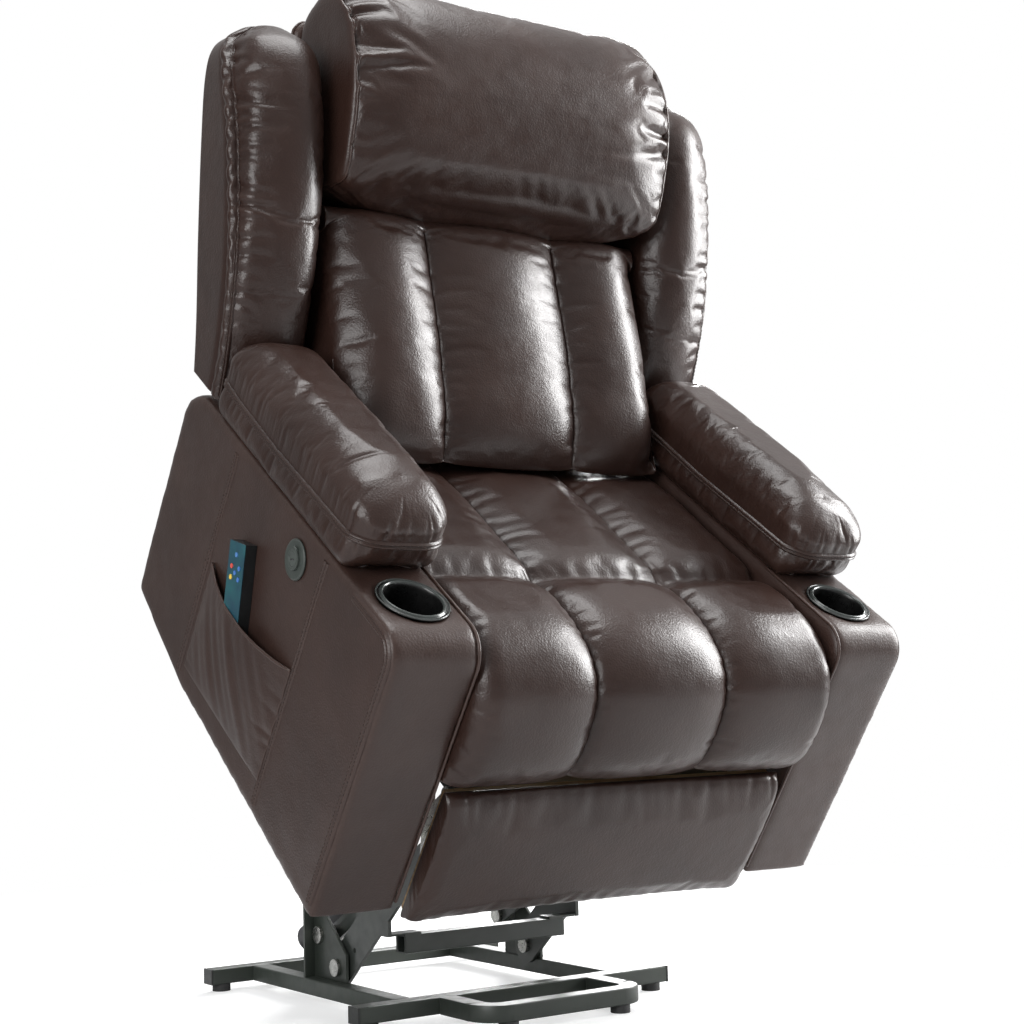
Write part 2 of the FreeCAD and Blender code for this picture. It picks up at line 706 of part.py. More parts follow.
def build_carriage():
    rail = box("carriage_rail", ("rail_inner", "rail_width"), ("rail_front", "rail_rear - rail_front"),
               ("rail_bottom", "rail_height"))
    posts = [box(f"post{index}", ("rail_inner", "rail_width"), (at, "post_width"),
                 ("rail_bottom + rail_height", "seat_frame_bottom - rail_bottom - rail_height"))
             for index, at in enumerate(("rail_front", "seat_frame_rear - 60"))]
    mounts = [box(f"mount{index}", ("rail_inner + rail_width", "seat_gap / 2 - rail_inner - rail_width"),
                  (at, "post_width"), ("rail_bottom + 8", "6"))
              for index, at in enumerate(("second_cross + 160", "rear_cross - 70"))]
    stud_start = size("rail_inner") + size("rail_width") - 1.0
    stud = feature("footrest_stud", disc(fixed_pivot, size("bar_pin"), stud_start,
                                         size("inner_bar_face") + size("bar_thickness") + 4.0
                                         - size("rail_inner") - size("rail_width")))
    side = fuse("carriage_side", [rail] + posts + mounts + [stud])
    keep(pair("carriage_rails", side), "carriage_rails", chair)

    tubes = []
    for index, at in enumerate(("first_cross", "second_cross", "motor_cross", "rear_cross")):
        outer = box(f"cross{index}", ("-rail_inner", "2 * rail_inner"), (at, "cross_depth"),
                    ("rail_bottom", "rail_height"))
        bore = box(f"cross_bore{index}", ("-rail_inner - 1", "2 * rail_inner + 2"),
                   (f"{at} + cross_wall", "cross_depth - 2 * cross_wall"),
                   ("rail_bottom + cross_wall", "rail_height - 2 * cross_wall"))
        tubes.append(cut(f"cross_tube{index}", outer, [bore]))
    keep(group("cross_tubes", tubes), "carriage_cross_tubes", chair)

    lug = plate("lug", [("first_cross", "rail_bottom"), ("first_cross - 2", "upper_pivot_up - 14"),
                        ("upper_pivot_back - 4", "upper_pivot_up - 20"),
                        ("link_pivot_back + 6", "link_pivot_up - 20"),
                        ("link_pivot_back + 22", "link_pivot_up - 8"),
                        ("second_cross + cross_depth", "rail_bottom")], "lug_face", "lug_thickness")
    bolt_hole = cylinder("lug_hole", "bolt_radius + running_gap", "lug_thickness + 4",
                         ("lug_face - 2", "upper_pivot_back", "upper_pivot_up"))
    pin_hole = cylinder("lug_pin_hole", "pin_radius + running_gap", "lug_thickness + 4",
                        ("lug_face - 2", "link_pivot_back", "link_pivot_up"))
    keep(pair("lugs", cut("lug_drilled", lug, [bolt_hole, pin_hole])), "carriage_lift_lugs", chair)

    outer = size("arm_face") + size("link_thickness") + 0.3
    inner = size("lug_face") - 0.3
    main = bolt(upper_local, inner - 1.0, outer, outer, inner)
    main = main.cut(disc(upper_local, 40.0, inner - 8.0, 2.5))
    collar = disc(upper_local, size("bolt_radius") + 3.0, size("lug_face") + size("lug_thickness") + 0.2,
                  size("arm_face") - size("lug_face") - size("lug_thickness") - 0.4)
    pin = disc(link_local, size("pin_radius"), size("link_face") - 2.0,
               size("lug_face") + size("lug_thickness") + 1.5 - size("link_face") + 2.0)
    pin_head = disc(link_local, size("pin_radius") + 3.0, size("lug_face") + size("lug_thickness") + 0.2, 1.8)
    bolts = Part.makeCompound([main.fuse(collar), pin.fuse(pin_head)])
    keep(feature("upper_bolts", both_sides(bolts)), "upper_pivot_bolts", chair)


def ears(center, corners, low, radius, play):
    """Two ears across X about a pin, drilled with the given play or carrying the pin."""
    thick = size("ear_thickness")
    sheet = prism(corners, center.x + low, thick).fuse(disc(center, radius, center.x + low, thick))
    twin = sheet.mirror(Vector(center.x, 0, 0), Vector(1, 0, 0))
    pair_ = sheet.fuse(twin).removeSplitter()
    if play is None:
        reach = low + thick + 3.0
        pin = disc(center, size("pin_radius"), center.x - reach, 2.0 * reach)
        return pair_.multiFuse([pin]).removeSplitter()
    return pair_


def build_clevises():
    """The ears on the frame and the carriage that hold the ends of both motors."""
    low = size("eye_width") / 2.0 + size("ear_gap")
    radius = size("eye_radius") + 2.0
    rear = datum + size("base_rear")
    floor_top = size("foot_height") + size("tube_height")
    front = rear - size("tube_width")
    base = ears(motor_pin, [(front, floor_top), (front, size("motor_pin_up")),
                            (rear, size("motor_pin_up")), (rear, floor_top)], low, radius, None)
    keep(feature("lift_motor_ears", base), "lift_motor_clevis")

    back = size("motor_cross") + size("cross_depth")
    bottom = size("rail_bottom")
    recline = ears(recline_local, [(back, bottom), (back, bottom + size("rail_height")),
                                   (size("recline_pin_back"), size("recline_pin_up") + 15.0),
                                   (size("recline_pin_back"), size("recline_pin_up") - 15.0)],
                   low, radius, None)
    keep(feature("recline_motor_ears", recline), "recline_motor_clevis", chair)

    drift = rod_drift()
    middle = rod_local + drift * 0.5
    opening = drift.Length / 2.0 + size("pin_radius") + size("rod_play")
    front = size("second_cross")
    low = size("rod_eye_width") / 2.0 + size("ear_gap")
    upper = ears(middle, [(front, bottom), (front, middle.z), (front + size("cross_depth"), middle.z),
                          (front + size("cross_depth"), bottom)], low, opening + 7.0, 0.0)
    upper = upper.cut(disc(middle, opening, middle.x - 60.0, 120.0))
    keep(feature("lift_rod_ears", upper), "lift_rod_clevis", chair)


def build_seat_frame():
    height = ("seat_frame_bottom", "seat_frame_height")
    side = box("seat_frame_side", ("seat_frame_half - seat_frame_wood", "seat_frame_wood"),
               ("seat_frame_front", "seat_frame_rear - seat_frame_front"), height)
    across = ("-seat_frame_half + seat_frame_wood", "2 * seat_frame_half - 2 * seat_frame_wood")
    ends = [box(f"seat_frame_end{index}", across, (at, "seat_frame_wood"), height)
            for index, at in enumerate(("seat_frame_front", "seat_frame_rear - seat_frame_wood"))]
    members = [side, mirror("seat_frame_other_side", side)] + ends
    keep(group("seat_frame_members", members), "seat_frame", chair)
    inside = size("seat_frame_half") - size("seat_frame_wood")
    first = size("seat_frame_front") + size("seat_frame_wood") + 20.0
    last = size("seat_frame_rear") - size("seat_frame_wood") - 10.0 - size("strap_width")
    count = int((last - first) / size("strap_pitch")) + 1
    top = size("seat_frame_bottom") + size("seat_frame_height") - size("strap_thickness")
    straps = [Part.makeBox(2.0 * inside, size("strap_width"), size("strap_thickness"),
                           Vector(-inside, first + index * size("strap_pitch"), top))
              for index in range(count)]
    keep(feature("straps", Part.makeCompound(straps)), "seat_webbing", chair)


def actuator(tube_end, side):
    """An actuator's housing along +Z from its pin: eye, gearbox, motor beside it and bored tube."""
    width = size("eye_width")
    eye = Part.makeCylinder(size("eye_radius"), width, Vector(-width / 2.0, 0, 0), Vector(1, 0, 0))
    neck = size("eye_radius") + 3.0
    half = size("gearbox_half")
    offset = size("motor_offset")
    length = size("gearbox_length")
    up = Vector(0, 0, 1)
    shank = Part.makeBox(width, 1.4 * size("eye_radius"), neck + 2.0,
                         Vector(-width / 2.0, -0.7 * size("eye_radius"), 0))
    gearbox = Part.makeBox(2.0 * half, 2.0 * half, length, Vector(-half, -half, neck))
    bridge = Part.makeBox(offset, 2.0 * half - 6.0, length - 16.0,
                          Vector(min(0.0, side * offset), 3.0 - half, neck + 6.0))
    motor = Part.makeCylinder(size("motor_radius"), size("motor_length"),
                              Vector(side * offset, 0, neck + 6.0), up)
    tube = Part.makeCylinder(size("tube_radius"), tube_end - neck, Vector(0, 0, neck), up)
    body = eye.multiFuse([shank, gearbox, bridge, motor, tube])
    lip = 12.0
    bore_start = neck + length + 2.0
    bore = Part.makeCylinder(size("tube_bore"), tube_end - lip - bore_start, Vector(0, 0, bore_start), up)
    mouth = Part.makeCylinder(size("rod_radius") + size("running_gap"), lip + 2.0,
                              Vector(0, 0, tube_end - lip - 1.0), up)
    pin = Part.makeCylinder(size("pin_radius") + size("running_gap"), width + 2.0,
                            Vector(-width / 2.0 - 1.0, 0, 0), Vector(1, 0, 0))
    return body.cut(bore).cut(mouth).cut(pin).removeSplitter()


def rod(start, end, pin_reach):
    """An actuator's rod along +Z with the eye and its own cross pin at the outer end."""
    width = size("rod_eye_width")
    bar_ = Part.makeCylinder(size("rod_radius"), end - start, Vector(0, 0, start), Vector(0, 0, 1))
    eye = Part.makeCylinder(size("eye_radius"), width, Vector(-width / 2.0, 0, end), Vector(1, 0, 0))
    pin = Part.makeCylinder(size("pin_radius"), 2.0 * pin_reach, Vector(-pin_reach, 0, end), Vector(1, 0, 0))
    return bar_.multiFuse([eye, pin]).removeSplitter()


def aimed(start, end):
    """The placement that turns +Z from one pin to the other."""
    run = end - start
    return Placement(start, Rotation(Vector(1, 0, 0), math.degrees(math.atan2(-run.y, run.z))))


def build_actuators():
    reach = size("rod_eye_width") / 2.0 + size("ear_gap") + size("ear_thickness") + 2.5
    place = aimed(motor_pin, rod_pin)
    keep(feature("lift_housing", actuator(size("lift_tube_end"), -1.0)), "lift_motor", place)
    length = (rod_pin - motor_pin).Length
    keep(feature("lift_rod", rod(size("lift_rod_start"), length, reach)), "lift_motor_rod", place)
    crank = crank_local + Vector(size("recline_offset"), 0, 0)
    place = chair.multiply(aimed(recline_local, crank))
    keep(feature("recline_housing", actuator(size("recline_tube_end"), -1.0)), "recline_motor", place)
    length = (crank - recline_local).Length
    keep(feature("recline_rod", rod(size("recline_rod_start"), length, reach)), "recline_motor_rod", place)


def build_control_box():
    case = box("control_case", ("-rail_inner", "92"), ("rear_cross - 260", "104"), ("rail_bottom", "42"))
    inlet = box("control_inlet", ("-rail_inner + 30", "28"), ("rear_cross - 260 + 104 - 16", "20"),
                ("rail_bottom + 11", "20"))
    keep(cut("control_box", case, [inlet]), "power_control_box", chair)


# The footrest: two scissor stages on each side and the padded board


def bar(start, end, low, pins, holes):
    """A scissor bar with pins that stand out of it towards the other row of bars."""
    thick = size("bar_thickness")
    body = strap(start, end, size("bar_radius"), low, thick)
    outward = low < size("outer_bar_face")
    reach = size("outer_bar_face") - size("inner_bar_face") + 1.0
    for center in pins:
        start_x = low + thick if outward else low - reach
        body = body.fuse(disc(center, size("bar_pin"), start_x, reach))
    for center in holes:
        body = body.cut(hole(center, size("bar_pin") + size("running_gap"), low, thick))
    return body.removeSplitter()


def build_footrest():
    inner = size("inner_bar_face")
    outer = size("outer_bar_face")
    thick = size("bar_thickness")
    middle_rear = (fixed_pivot + low_pivot) * 0.5
    middle_front = (low_pivot + board_pivot) * 0.5
    rear_falling = bar(fixed_pivot, low_pivot, inner, [middle_rear, low_pivot], [fixed_pivot])
    front_rising = bar(low_pivot, board_pivot, outer, [middle_front], [low_pivot, board_pivot])
    rear_rising = bar(rear_low, high_pivot, outer, [], [middle_rear])
    front_falling = bar(high_pivot, front_low, inner, [], [middle_front])
    for label, solid in (("footrest_rear_falling_bars", rear_falling),
                         ("footrest_front_rising_bars", front_rising),
                         ("footrest_rear_rising_bars", rear_rising),
                         ("footrest_front_falling_bars", front_falling)):
        keep(feature(label + "_pair", both_sides(solid)), label, chair)

    board = box("board", ("-board_half", "2 * board_half"), ("board_front", "board_thickness"),
                ("board_bottom", "board_top - board_bottom"))
    keep(group("board_part", [board]), "footrest_board", chair)
    low = outer + thick + 2.0
    rear_face = size("board_front") + size("board_thickness")
    radius = size("bar_radius")
    ear = Part.makeBox(4.0, board_pivot.y - rear_face, 2.0 * radius,
                       Vector(low, rear_face, board_pivot.z - radius))
    pin = disc(board_pivot, size("bar_pin"), outer - 1.0, low - outer + 1.0)
    ear = ear.multiFuse([disc(board_pivot, radius, low, 4.0), pin])
    keep(feature("board_hinges", both_sides(ear.removeSplitter())), "footrest_board_hinges", chair)
    keep(feature("footrest_pad", footrest_cushion()), "footrest_pad", chair)


def footrest_cushion():
    """The padded front of the footrest: a crowned slab with rounded edges."""
    half = size("footrest_half")
    bottom = size("footrest_bottom")
    top = size("footrest_top")
    back = size("board_front") - size("soft_gap")
    face = -size("footrest_face")
    middle = (bottom + top) / 2.0

    def section(x, inset, sink):
        low = bottom + inset
        high = top - inset
        front = face + sink

        def spot(y, z):
            return Vector(x, y, z)

        steps = [((back, high),), ((front + 10.0, high - 3.0),),
                 ((front + 3.0, high - 10.0), (front + 2.0, high - 24.0)),
                 ((front, middle), (front + 2.0, low + 24.0)),
                 ((front + 3.0, low + 10.0), (front + 10.0, low + 3.0)),
                 ((back, low),)]
        return outline(steps, spot)

    stations = [(1.0, 6.0, 12.0), (0.97, 1.5, 4.0), (0.8, 0.0, 1.0), (0.0, 0.0, 0.0)]
    wires = [section(-half * share, inset, sink) for share, inset, sink in stations]
    wires += [section(half * share, inset, sink) for share, inset, sink in reversed(stations[:-1])]
    return loft(wires, True)


# Seat cushion: three channels whose seams run front to back


def seat_section(x, drop):
    rear = size("seat_rear")
    bottom = size("seat_frame_bottom") + size("seat_frame_height") + size("soft_gap")
    top = size("seat_top") - drop
    rear_top = size("seat_rear_top") - drop
    crease = size("seat_crease")
    nose = -size("seat_nose") + 0.6 * drop
    lip = size("seat_lip")
    back_of_lip = size("seat_frame_front") - 6.0

    def spot(y, z):
        return Vector(x, y, z)

    steps = [((rear, rear_top),),
             (((rear + crease) / 2.0, top), (crease, top - 20.0)),
             ((crease * 0.5, top + 2.0), (0.0, top - 28.0)),
             ((nose + 9.0, top - 62.0), (nose, top - 104.0)),
             ((nose - 3.0, lip + 55.0), (nose + 28.0, lip)),
             ((back_of_lip, lip + 4.0),),
             ((back_of_lip, bottom),),
             ((rear, bottom),)]
    return outline(steps, spot)


def channels(section, half, seam, depth, end_drop):
    """Three side by side swells: lofts from seam to seam, joined."""
    crown = [(-seam, depth), (-seam * 0.78, depth * 0.3), (0.0, 0.0), (seam * 0.78, depth * 0.3),
             (seam, depth)]
    middle = loft([section(x, drop) for x, drop in crown])
    run = half - seam
    stops = [(seam, depth), (seam + 0.12 * run, depth * 0.3), (seam + 0.5 * run, 0.0),
             (half - 0.1 * run, end_drop * 0.4), (half, end_drop)]
    right = loft([section(x, drop) for x, drop in stops])
    left = loft([section(-x, drop) for x, drop in reversed(stops)])
    return joined([left, middle, right])


def pockets(base, spots, radius, depth, axis):
    """Blind round pockets for the vibration motors."""
    for spot in spots:
        base = base.cut(Part.makeCylinder(radius, depth, spot, axis))
    return base


SEAT_PUCKS = [(-150.0, 120.0), (150.0, 120.0), (-95.0, 330.0), (95.0, 330.0)]
BACK_PUCKS = [(-95.0, 190.0), (95.0, 190.0)]
HEAD_PUCKS = [(-110.0, 600.0), (110.0, 600.0)]


def build_seat():
    half = size("seat_gap") / 2.0 - size("seat_side_gap")
    cushion = channels(seat_section, half, size("channel_half"), size("channel_depth"), 30.0)
    radius = size("puck_radius")
    height = size("puck_height")
    bottom = size("seat_frame_bottom") + size("seat_frame_height") + size("soft_gap")
    up = Vector(0, 0, 1)
    spots = [Vector(x, y, bottom - 1.0) for x, y in SEAT_PUCKS]
    cushion = pockets(cushion, spots, radius + 0.5, height + 2.0, up)
    keep(feature("seat_cushion", cushion), "seat_cushion", chair)
    pucks = [Part.makeCylinder(radius, height, Vector(x, y, bottom), up) for x, y in SEAT_PUCKS]
    keep(feature("seat_pucks", Part.makeCompound(pucks)), "seat_vibration_motors", chair)


# Backrest, in its own frame: Z up its lean, Y to its rear, the rear plane at Y = 0


def build_back_frame():
    post = box("back_post", ("back_frame_half - back_frame_wood", "back_frame_wood"),
               ("-back_frame_depth - 1", "back_frame_depth"),
               ("back_frame_bottom", "back_frame_top - back_frame_bottom"))
    across = ("-back_frame_half + back_frame_wood", "2 * back_frame_half - 2 * back_frame_wood")
    rails = [box(f"back_rail{index}", across,
                 ("-back_frame_depth - 1", "back_frame_depth"), (low, "back_frame_wood + 6"))
             for index, low in enumerate(("back_frame_bottom", "180",
                                          "back_frame_top - back_frame_wood - 6"))]
    hinge = back_local.inverse().multVec(hinge_local)
    half = size("back_frame_half")
    bore = feature("hinge_bore", disc(hinge, size("hinge_pin") + size("running_gap"),
                                      -half - 1.0, 2.0 * half + 2.0))
    posts = [cut("back_post_bored", post, [bore])]
    posts.append(mirror("back_post_left", posts[0]))
    rails[0] = cut("back_rail_bored", rails[0], [bore])
    keep(group("back_frame_members", posts + rails), "back_frame", backrest)

    drift = crank_drift()
    thick = size("ear_thickness")
    opening = drift.Length / 2.0 + size("pin_radius") + size("rod_play")
    low = size("recline_offset") + size("rod_eye_width") / 2.0 + size("ear_gap")
    center = Vector(low, size("crank_back"), -size("crank_down")) + drift * 0.5
    bottom = size("back_frame_bottom")
    arm = Part.makeBox(thick, center.y + 20.0, 20.0, Vector(low, -20.0, bottom - 20.0))
    arm = arm.fuse(disc(center, opening + 6.0, low, thick)).cut(hole(center, opening, low, thick))
    arm = arm.cut(Part.makeBox(40.0, 80.0, 60.0, Vector(low - 5.0, -40.0, bottom)))
    twin = arm.mirror(Vector(size("recline_offset"), 0, 0), Vector(1, 0, 0))
    keep(feature("crank", Part.makeCompound([arm, twin])), "recline_crank", backrest)

    wide = box("shell_wide", ("-shell_half", "2 * shell_half"), ("0", "shell_thickness"),
               ("shell_step", "shell_shoulder - shell_step"))
    head = box("shell_head", ("-pillow_half", "2 * pillow_half"), ("0", "shell_thickness"),
               ("shell_shoulder", "shell_top - shell_shoulder"))
    narrow = box("shell_narrow", ("-back_frame_half", "2 * back_frame_half"), ("0", "shell_thickness"),
                 ("0", "shell_step"))
    keep(fuse("back_shell", [wide, head, narrow]), "back_shell", backrest)


def build_hinges():
    """Plates on the seat frame with the pins that the backrest turns on."""
    inner = size("seat_frame_half")
    thick = size("hinge_thickness")
    back = hinge_local.y
    up = hinge_local.z
    low = size("seat_frame_bottom") + 2.0
    high = size("seat_frame_bottom") + size("seat_frame_height") - 2.0
    rear = size("seat_rear")
    sheet = prism([(rear - 86.0, low), (rear - 86.0, high), (rear + 10.0, high), (back - 20.0, up + 20.0),
                   (back + 20.0, up + 20.0), (back + 20.0, up - 18.0), (rear + 34.0, low)], inner, thick)
    length = inner - size("back_frame_half") + size("back_frame_wood")
    pin = disc(hinge_local, size("hinge_pin"), inner - length, length)
    keep(feature("back_hinges", both_sides(sheet.fuse(pin))), "back_hinges", chair)


def back_section(x, drop):
    """Side profile of the back cushion, with its lumbar swell."""
    rear = -(1.0 + size("back_frame_depth") + size("soft_gap"))
    top = size("back_cushion_top")
    bulge = -size("lumbar_bulge") + drop
    seat_clear = back_local.inverse().multVec(Vector(0, size("back_datum_back"), size("seat_top") + 1.5))
    slope = math.tan(math.radians(lean))
    bottom_rear = seat_clear.z + (rear - seat_clear.y) * slope
    bottom_front = seat_clear.z + (bulge + 18.0 - seat_clear.y) * slope

    def spot(y, z):
        return Vector(x, y, z)

    steps = [((rear, top),), ((rear, bottom_rear),), ((bulge + 18.0, bottom_front + 3.0),),
             ((bulge, 110.0), (bulge + 16.0, 190.0)),
             ((bulge + 47.0, 300.0), (bulge + 84.0, top - 30.0)),
             ((bulge + 92.0, top - 10.0), (bulge + 108.0, top))]
    return outline(steps, spot)


def pillow_section(x, share):
    """Side profile of the head pillow, drawn in towards its ends."""
    bulge = -size("pillow_bulge")
    bottom = size("pillow_bottom")
    top = size("pillow_top")
    rear = -size("soft_gap")
    heart_y = bulge * 0.5
    heart_z = (bottom + top) / 2.0

    def spot(y, z):
        shift_y = (y - heart_y) * share if y < rear - 1.0 else y - heart_y
        return Vector(x, heart_y + shift_y, heart_z + (z - heart_z) * share)

    steps = [((rear, bottom + 10.0),), ((bulge * 0.68, bottom),),
             ((bulge * 0.86, bottom + 14.0), (bulge * 0.93, bottom + 48.0)),
             ((bulge, bottom + 165.0), (bulge * 0.87, top - 70.0)),
             ((bulge * 0.55, top), (rear - 24.0, top - 26.0)),
             ((rear - 6.0, top - 40.0), (rear, top - 66.0))]
    return outline(steps, spot)


def wing_section(z, inner, outer, rear, seam, bulge):
    """Flat outer side back to the seam, then a swell round the front to the inner side."""

    def spot(x, y):
        return Vector(x, y, z)

    width = outer - inner
    steps = [((inner, rear),), ((inner, -bulge * 0.72),),
             ((inner + 0.16 * width, -bulge * 0.94), (inner + 0.42 * width, -bulge)),
             ((inner + 0.86 * width, -(bulge + seam) * 0.5 - 0.16 * bulge), (outer, -seam)),
             ((outer, rear),)]
    return outline(steps, spot)


def build_back_soft():
    back_axis = Vector(0, -1, 0)
    radius = size("puck_radius")
    height = size("puck_height")
    rear = -(1.0 + size("back_frame_depth") + size("soft_gap"))
    cushion = channels(back_section, size("back_cushion_half"), size("back_channel_half"),
                       size("channel_depth"), 34.0)
    spots = [Vector(x, rear + 1.0, z) for x, z in BACK_PUCKS]
    cushion = pockets(cushion, spots, radius + 0.5, height + 2.0, back_axis)
    keep(feature("back_cushion", cushion), "back_cushion", backrest)

    half = size("pillow_half")
    stations = [(-1.0, 0.72), (-0.955, 0.9), (-0.7, 0.985), (0.0, 1.0), (0.7, 0.985), (0.955, 0.9),
                (1.0, 0.72)]
    pillow = loft([pillow_section(half * place, share) for place, share in stations])
    head_rear = -size("soft_gap")
    spots = [Vector(x, head_rear + 1.0, z) for x, z in HEAD_PUCKS]
    pillow = pockets(pillow, spots, radius + 0.5, height + 2.0, back_axis)
    keep(feature("head_pillow", pillow), "head_pillow", backrest)

    pucks = [Part.makeCylinder(radius, height, Vector(x, rear, z), back_axis) for x, z in BACK_PUCKS]
    pucks += [Part.makeCylinder(radius, height, Vector(x, head_rear, z), back_axis) for x, z in HEAD_PUCKS]
    keep(feature("back_pucks", Part.makeCompound(pucks)), "back_vibration_motors", backrest)

    inner = size("wing_inner")
    outer = size("wing_outer")
    bulge = size("wing_bulge")
    top = size("wing_top")
    gap = -size("soft_gap")
    levels = [(90.0, 0.0, 0.0, 0.31, 0.37), (200.0, 0.0, 0.0, 0.57, 0.69), (340.0, 0.0, 4.0, 0.74, 0.97),
              (500.0, 0.0, 6.0, 0.66, 1.0), (610.0, 4.0, 4.0, 0.44, 0.93), (top - 28.0, 14.0, -8.0, 0.3, 0.8),
              (top, 40.0, -40.0, 0.26, 0.5)]
    wires = [wing_section(z, inner + inset, outer + swell, gap, bulge * seam, bulge * front)
             for z, inset, swell, seam, front in levels]
    wing = loft(wires)
    below = Part.makeBox(1200, 2000, 1000, Vector(-600, -600, size("deck_height") + size("wing_gap") - 1000))
    below.Placement = back_local.inverse().multiply(below.Placement)
    right = keep(feature("wing_right", wing.cut(below)), "wing_right", backrest)
    keep(mirror("wing_left", right), "wing_left")


# Arms and what they carry


def build_arms():
    outer = "overall_width / 2"
    width = "overall_width / 2 - seat_gap / 2"
    corners = [("0", "0"), ("arm_knee", "arm_knee_rise"), ("arm_depth - 5", "arm_rear_rise"),
               ("arm_depth", "arm_rear_rise + 60"), ("arm_depth", "deck_height"), ("0", "deck_height")]
    block = plate("arm_block", corners, "seat_gap / 2", width)
    doc.recompute()
    rounds = [(0.0, size("arm_front_round")), (size("arm_depth"), size("arm_rear_round"))]
    block = rounded_tops(block, rounds)
    well = cylinder("cup_well", "cup_bore + cup_wall + 0.2", "cup_depth + cup_wall + 0.5",
                    ("cup_offset", "cup_back", "deck_height - cup_depth - cup_wall"), "z")
    right = cut("arm_right_box", block, [well])
    keep(right, "arm_box_right", chair)
    socket = cylinder("port_well", "port_body_radius + 0.2", "port_depth + 1",
                      ("overall_width / 2 - port_depth", "port_back", "deck_height - port_drop"))
    left = mirror("arm_left_box", cut("arm_box_with_port", cut("arm_left_plain", block, [well]), [socket]))
    keep(left, "arm_box_left", chair)


def rounded_tops(block, rounds):
    """Round the top edges that run across the arm at the given places."""
    fillet = doc.addObject("Part::Fillet", "arm_rounded")
    fillet.Base = block
    edges = []
    for index, edge in enumerate(block.Shape.Edges, start=1):
        box_ = edge.BoundBox
        across = box_.YLength < 0.1 and box_.ZLength < 0.1
        for back, radius in rounds:
            if across and abs(box_.ZMin - size("deck_height")) < 0.1 and abs(box_.YMin - back) < 0.1:
                edges.append((index, radius, radius))
    fillet.Edges = edges
    return fillet


def pad_section(y, inset, low, high):
    """Pillow-shaped section of an arm pad: flat underside, swelling sides, crowned top."""
    inner = size("pad_inner") + inset
    outer = size("pad_outer") - inset
    foot = 0.14 * (outer - inner)
    middle = (inner + outer) / 2.0
    height = high - low

    def spot(x, z):
        return Vector(x, y, z)

    steps = [((outer - foot, low),),
             ((outer, low + 0.3 * height), (outer - 4.0, low + 0.62 * height)),
             ((middle, high), (inner + 4.0, low + 0.66 * height)),
             ((inner, low + 0.3 * height), (inner + foot, low))]
    return outline(steps, spot)


def build_arm_furniture():
    deck = size("deck_height") + size("soft_gap")
    top = size("pad_top")
    rear = size("pad_rear")
    front = size("pad_front")
    nose = size("pad_nose")
    low = deck - 8.0
    stations = [(rear, 12.0, low, top - 14.0), (rear - 22.0, 3.0, low, top - 3.0),
                (rear - 110.0, 0.0, low, top), (front + 210.0, 0.0, low, top),
                (front + 90.0, 0.0, low, top - 5.0), (front, 2.0, low, top - 18.0),
                (nose + 20.0, 12.0, deck + 22.0, top - 27.0), (nose, 38.0, deck + 44.0, top - 46.0)]
    below = Part.makeBox(400.0, rear, 60.0, Vector(size("pad_inner") - 100.0, nose, deck - 60.0))
    pad = loft([pad_section(*station) for station in stations]).cut(below)
    right = keep(feature("pad_right", pad), "arm_pad_right", chair)
    keep(mirror("pad_left", right), "arm_pad_left")

    cup = cylinder("cup_outer", "cup_bore + cup_wall", "cup_depth + cup_wall",
                   ("cup_offset", "cup_back", "deck_height - cup_depth - cup_wall"), "z")
    rim = cylinder("cup_rim_disc", "cup_rim", "cup_rim_height",
                   ("cup_offset", "cup_back", "deck_height"), "z")
    bore = cylinder("cup_bore_tool", "cup_bore", "cup_depth + cup_rim_height + 5",
                    ("cup_offset", "cup_back", "deck_height - cup_depth"), "z")
    keep(pair("cups", cut("cup", fuse("cup_solid", [cup, rim]), [bore])), "cup_holders", chair)


def build_port():
    face = "-overall_width / 2"
    axis = ("port_back", "deck_height - port_drop")
    flap_face = face + " - port_proud - flap_thickness - 0.1"
    body = cylinder("port_body", "port_body_radius", "port_depth", (face, *axis))
    ring = cylinder("port_ring", "port_radius", "port_proud", (face + " - port_proud", *axis))
    socket = cylinder("port_socket", "flap_radius - 4", "port_proud + 10",
                      (face + " - port_proud - 1", *axis))
    keep(cut("port", fuse("port_solid", [body, ring]), [socket]), "charging_port", chair)
    flap = cylinder("flap_disc", "flap_radius", "flap_thickness",
                    (flap_face, *axis))
    tongue = box("flap_tongue", (flap_face, "flap_thickness"),
                 ("port_back - 5", "10"), ("deck_height - port_drop + flap_radius - 3", "6"))
    barrel = cylinder("flap_barrel", "1.4", "10",
                      (flap_face, "port_back - 5", "deck_height - port_drop + flap_radius + 3"), "y")
    keep(fuse("flap", [flap, tongue, barrel]), "charging_port_flap", chair)


def build_pocket():
    """The slack side pocket: a shallow pouch, open at the top."""
    face = size("overall_width") / 2.0
    depth = size("handset_depth") + 2.0 * size("handset_gap")
    sheet = size("pocket_sheet")
    front = size("pocket_front")
    rear = size("pocket_rear")
    low = size("pocket_bottom")
    high = size("pocket_top")
    swell = 112.0

    def pouch(grow, bottom, top):
        corners = [(-face, front - grow), (-face, rear + grow), (-face - depth - grow, rear - 36.0 + grow),
                   (-face - depth - grow, front + swell - grow)]
        spots = [Vector(x, y, bottom) for x, y in corners]
        return Part.Face(Part.makePolygon(spots + spots[:1])).extrude(Vector(0, 0, top - bottom))

    hollow = pouch(0.0, low + sheet, high + 10.0)
    keep(feature("pocket", pouch(sheet, low, high).cut(hollow)), "side_pocket", chair)


HANDSET_KEYS = [("lift_up", -12.0, 124.0), ("lift_down", -12.0, 108.0), ("back", 0.0, 116.0),
                ("massage", 12.0, 124.0), ("heat", 12.0, 108.0), ("power", 0.0, 142.0)]


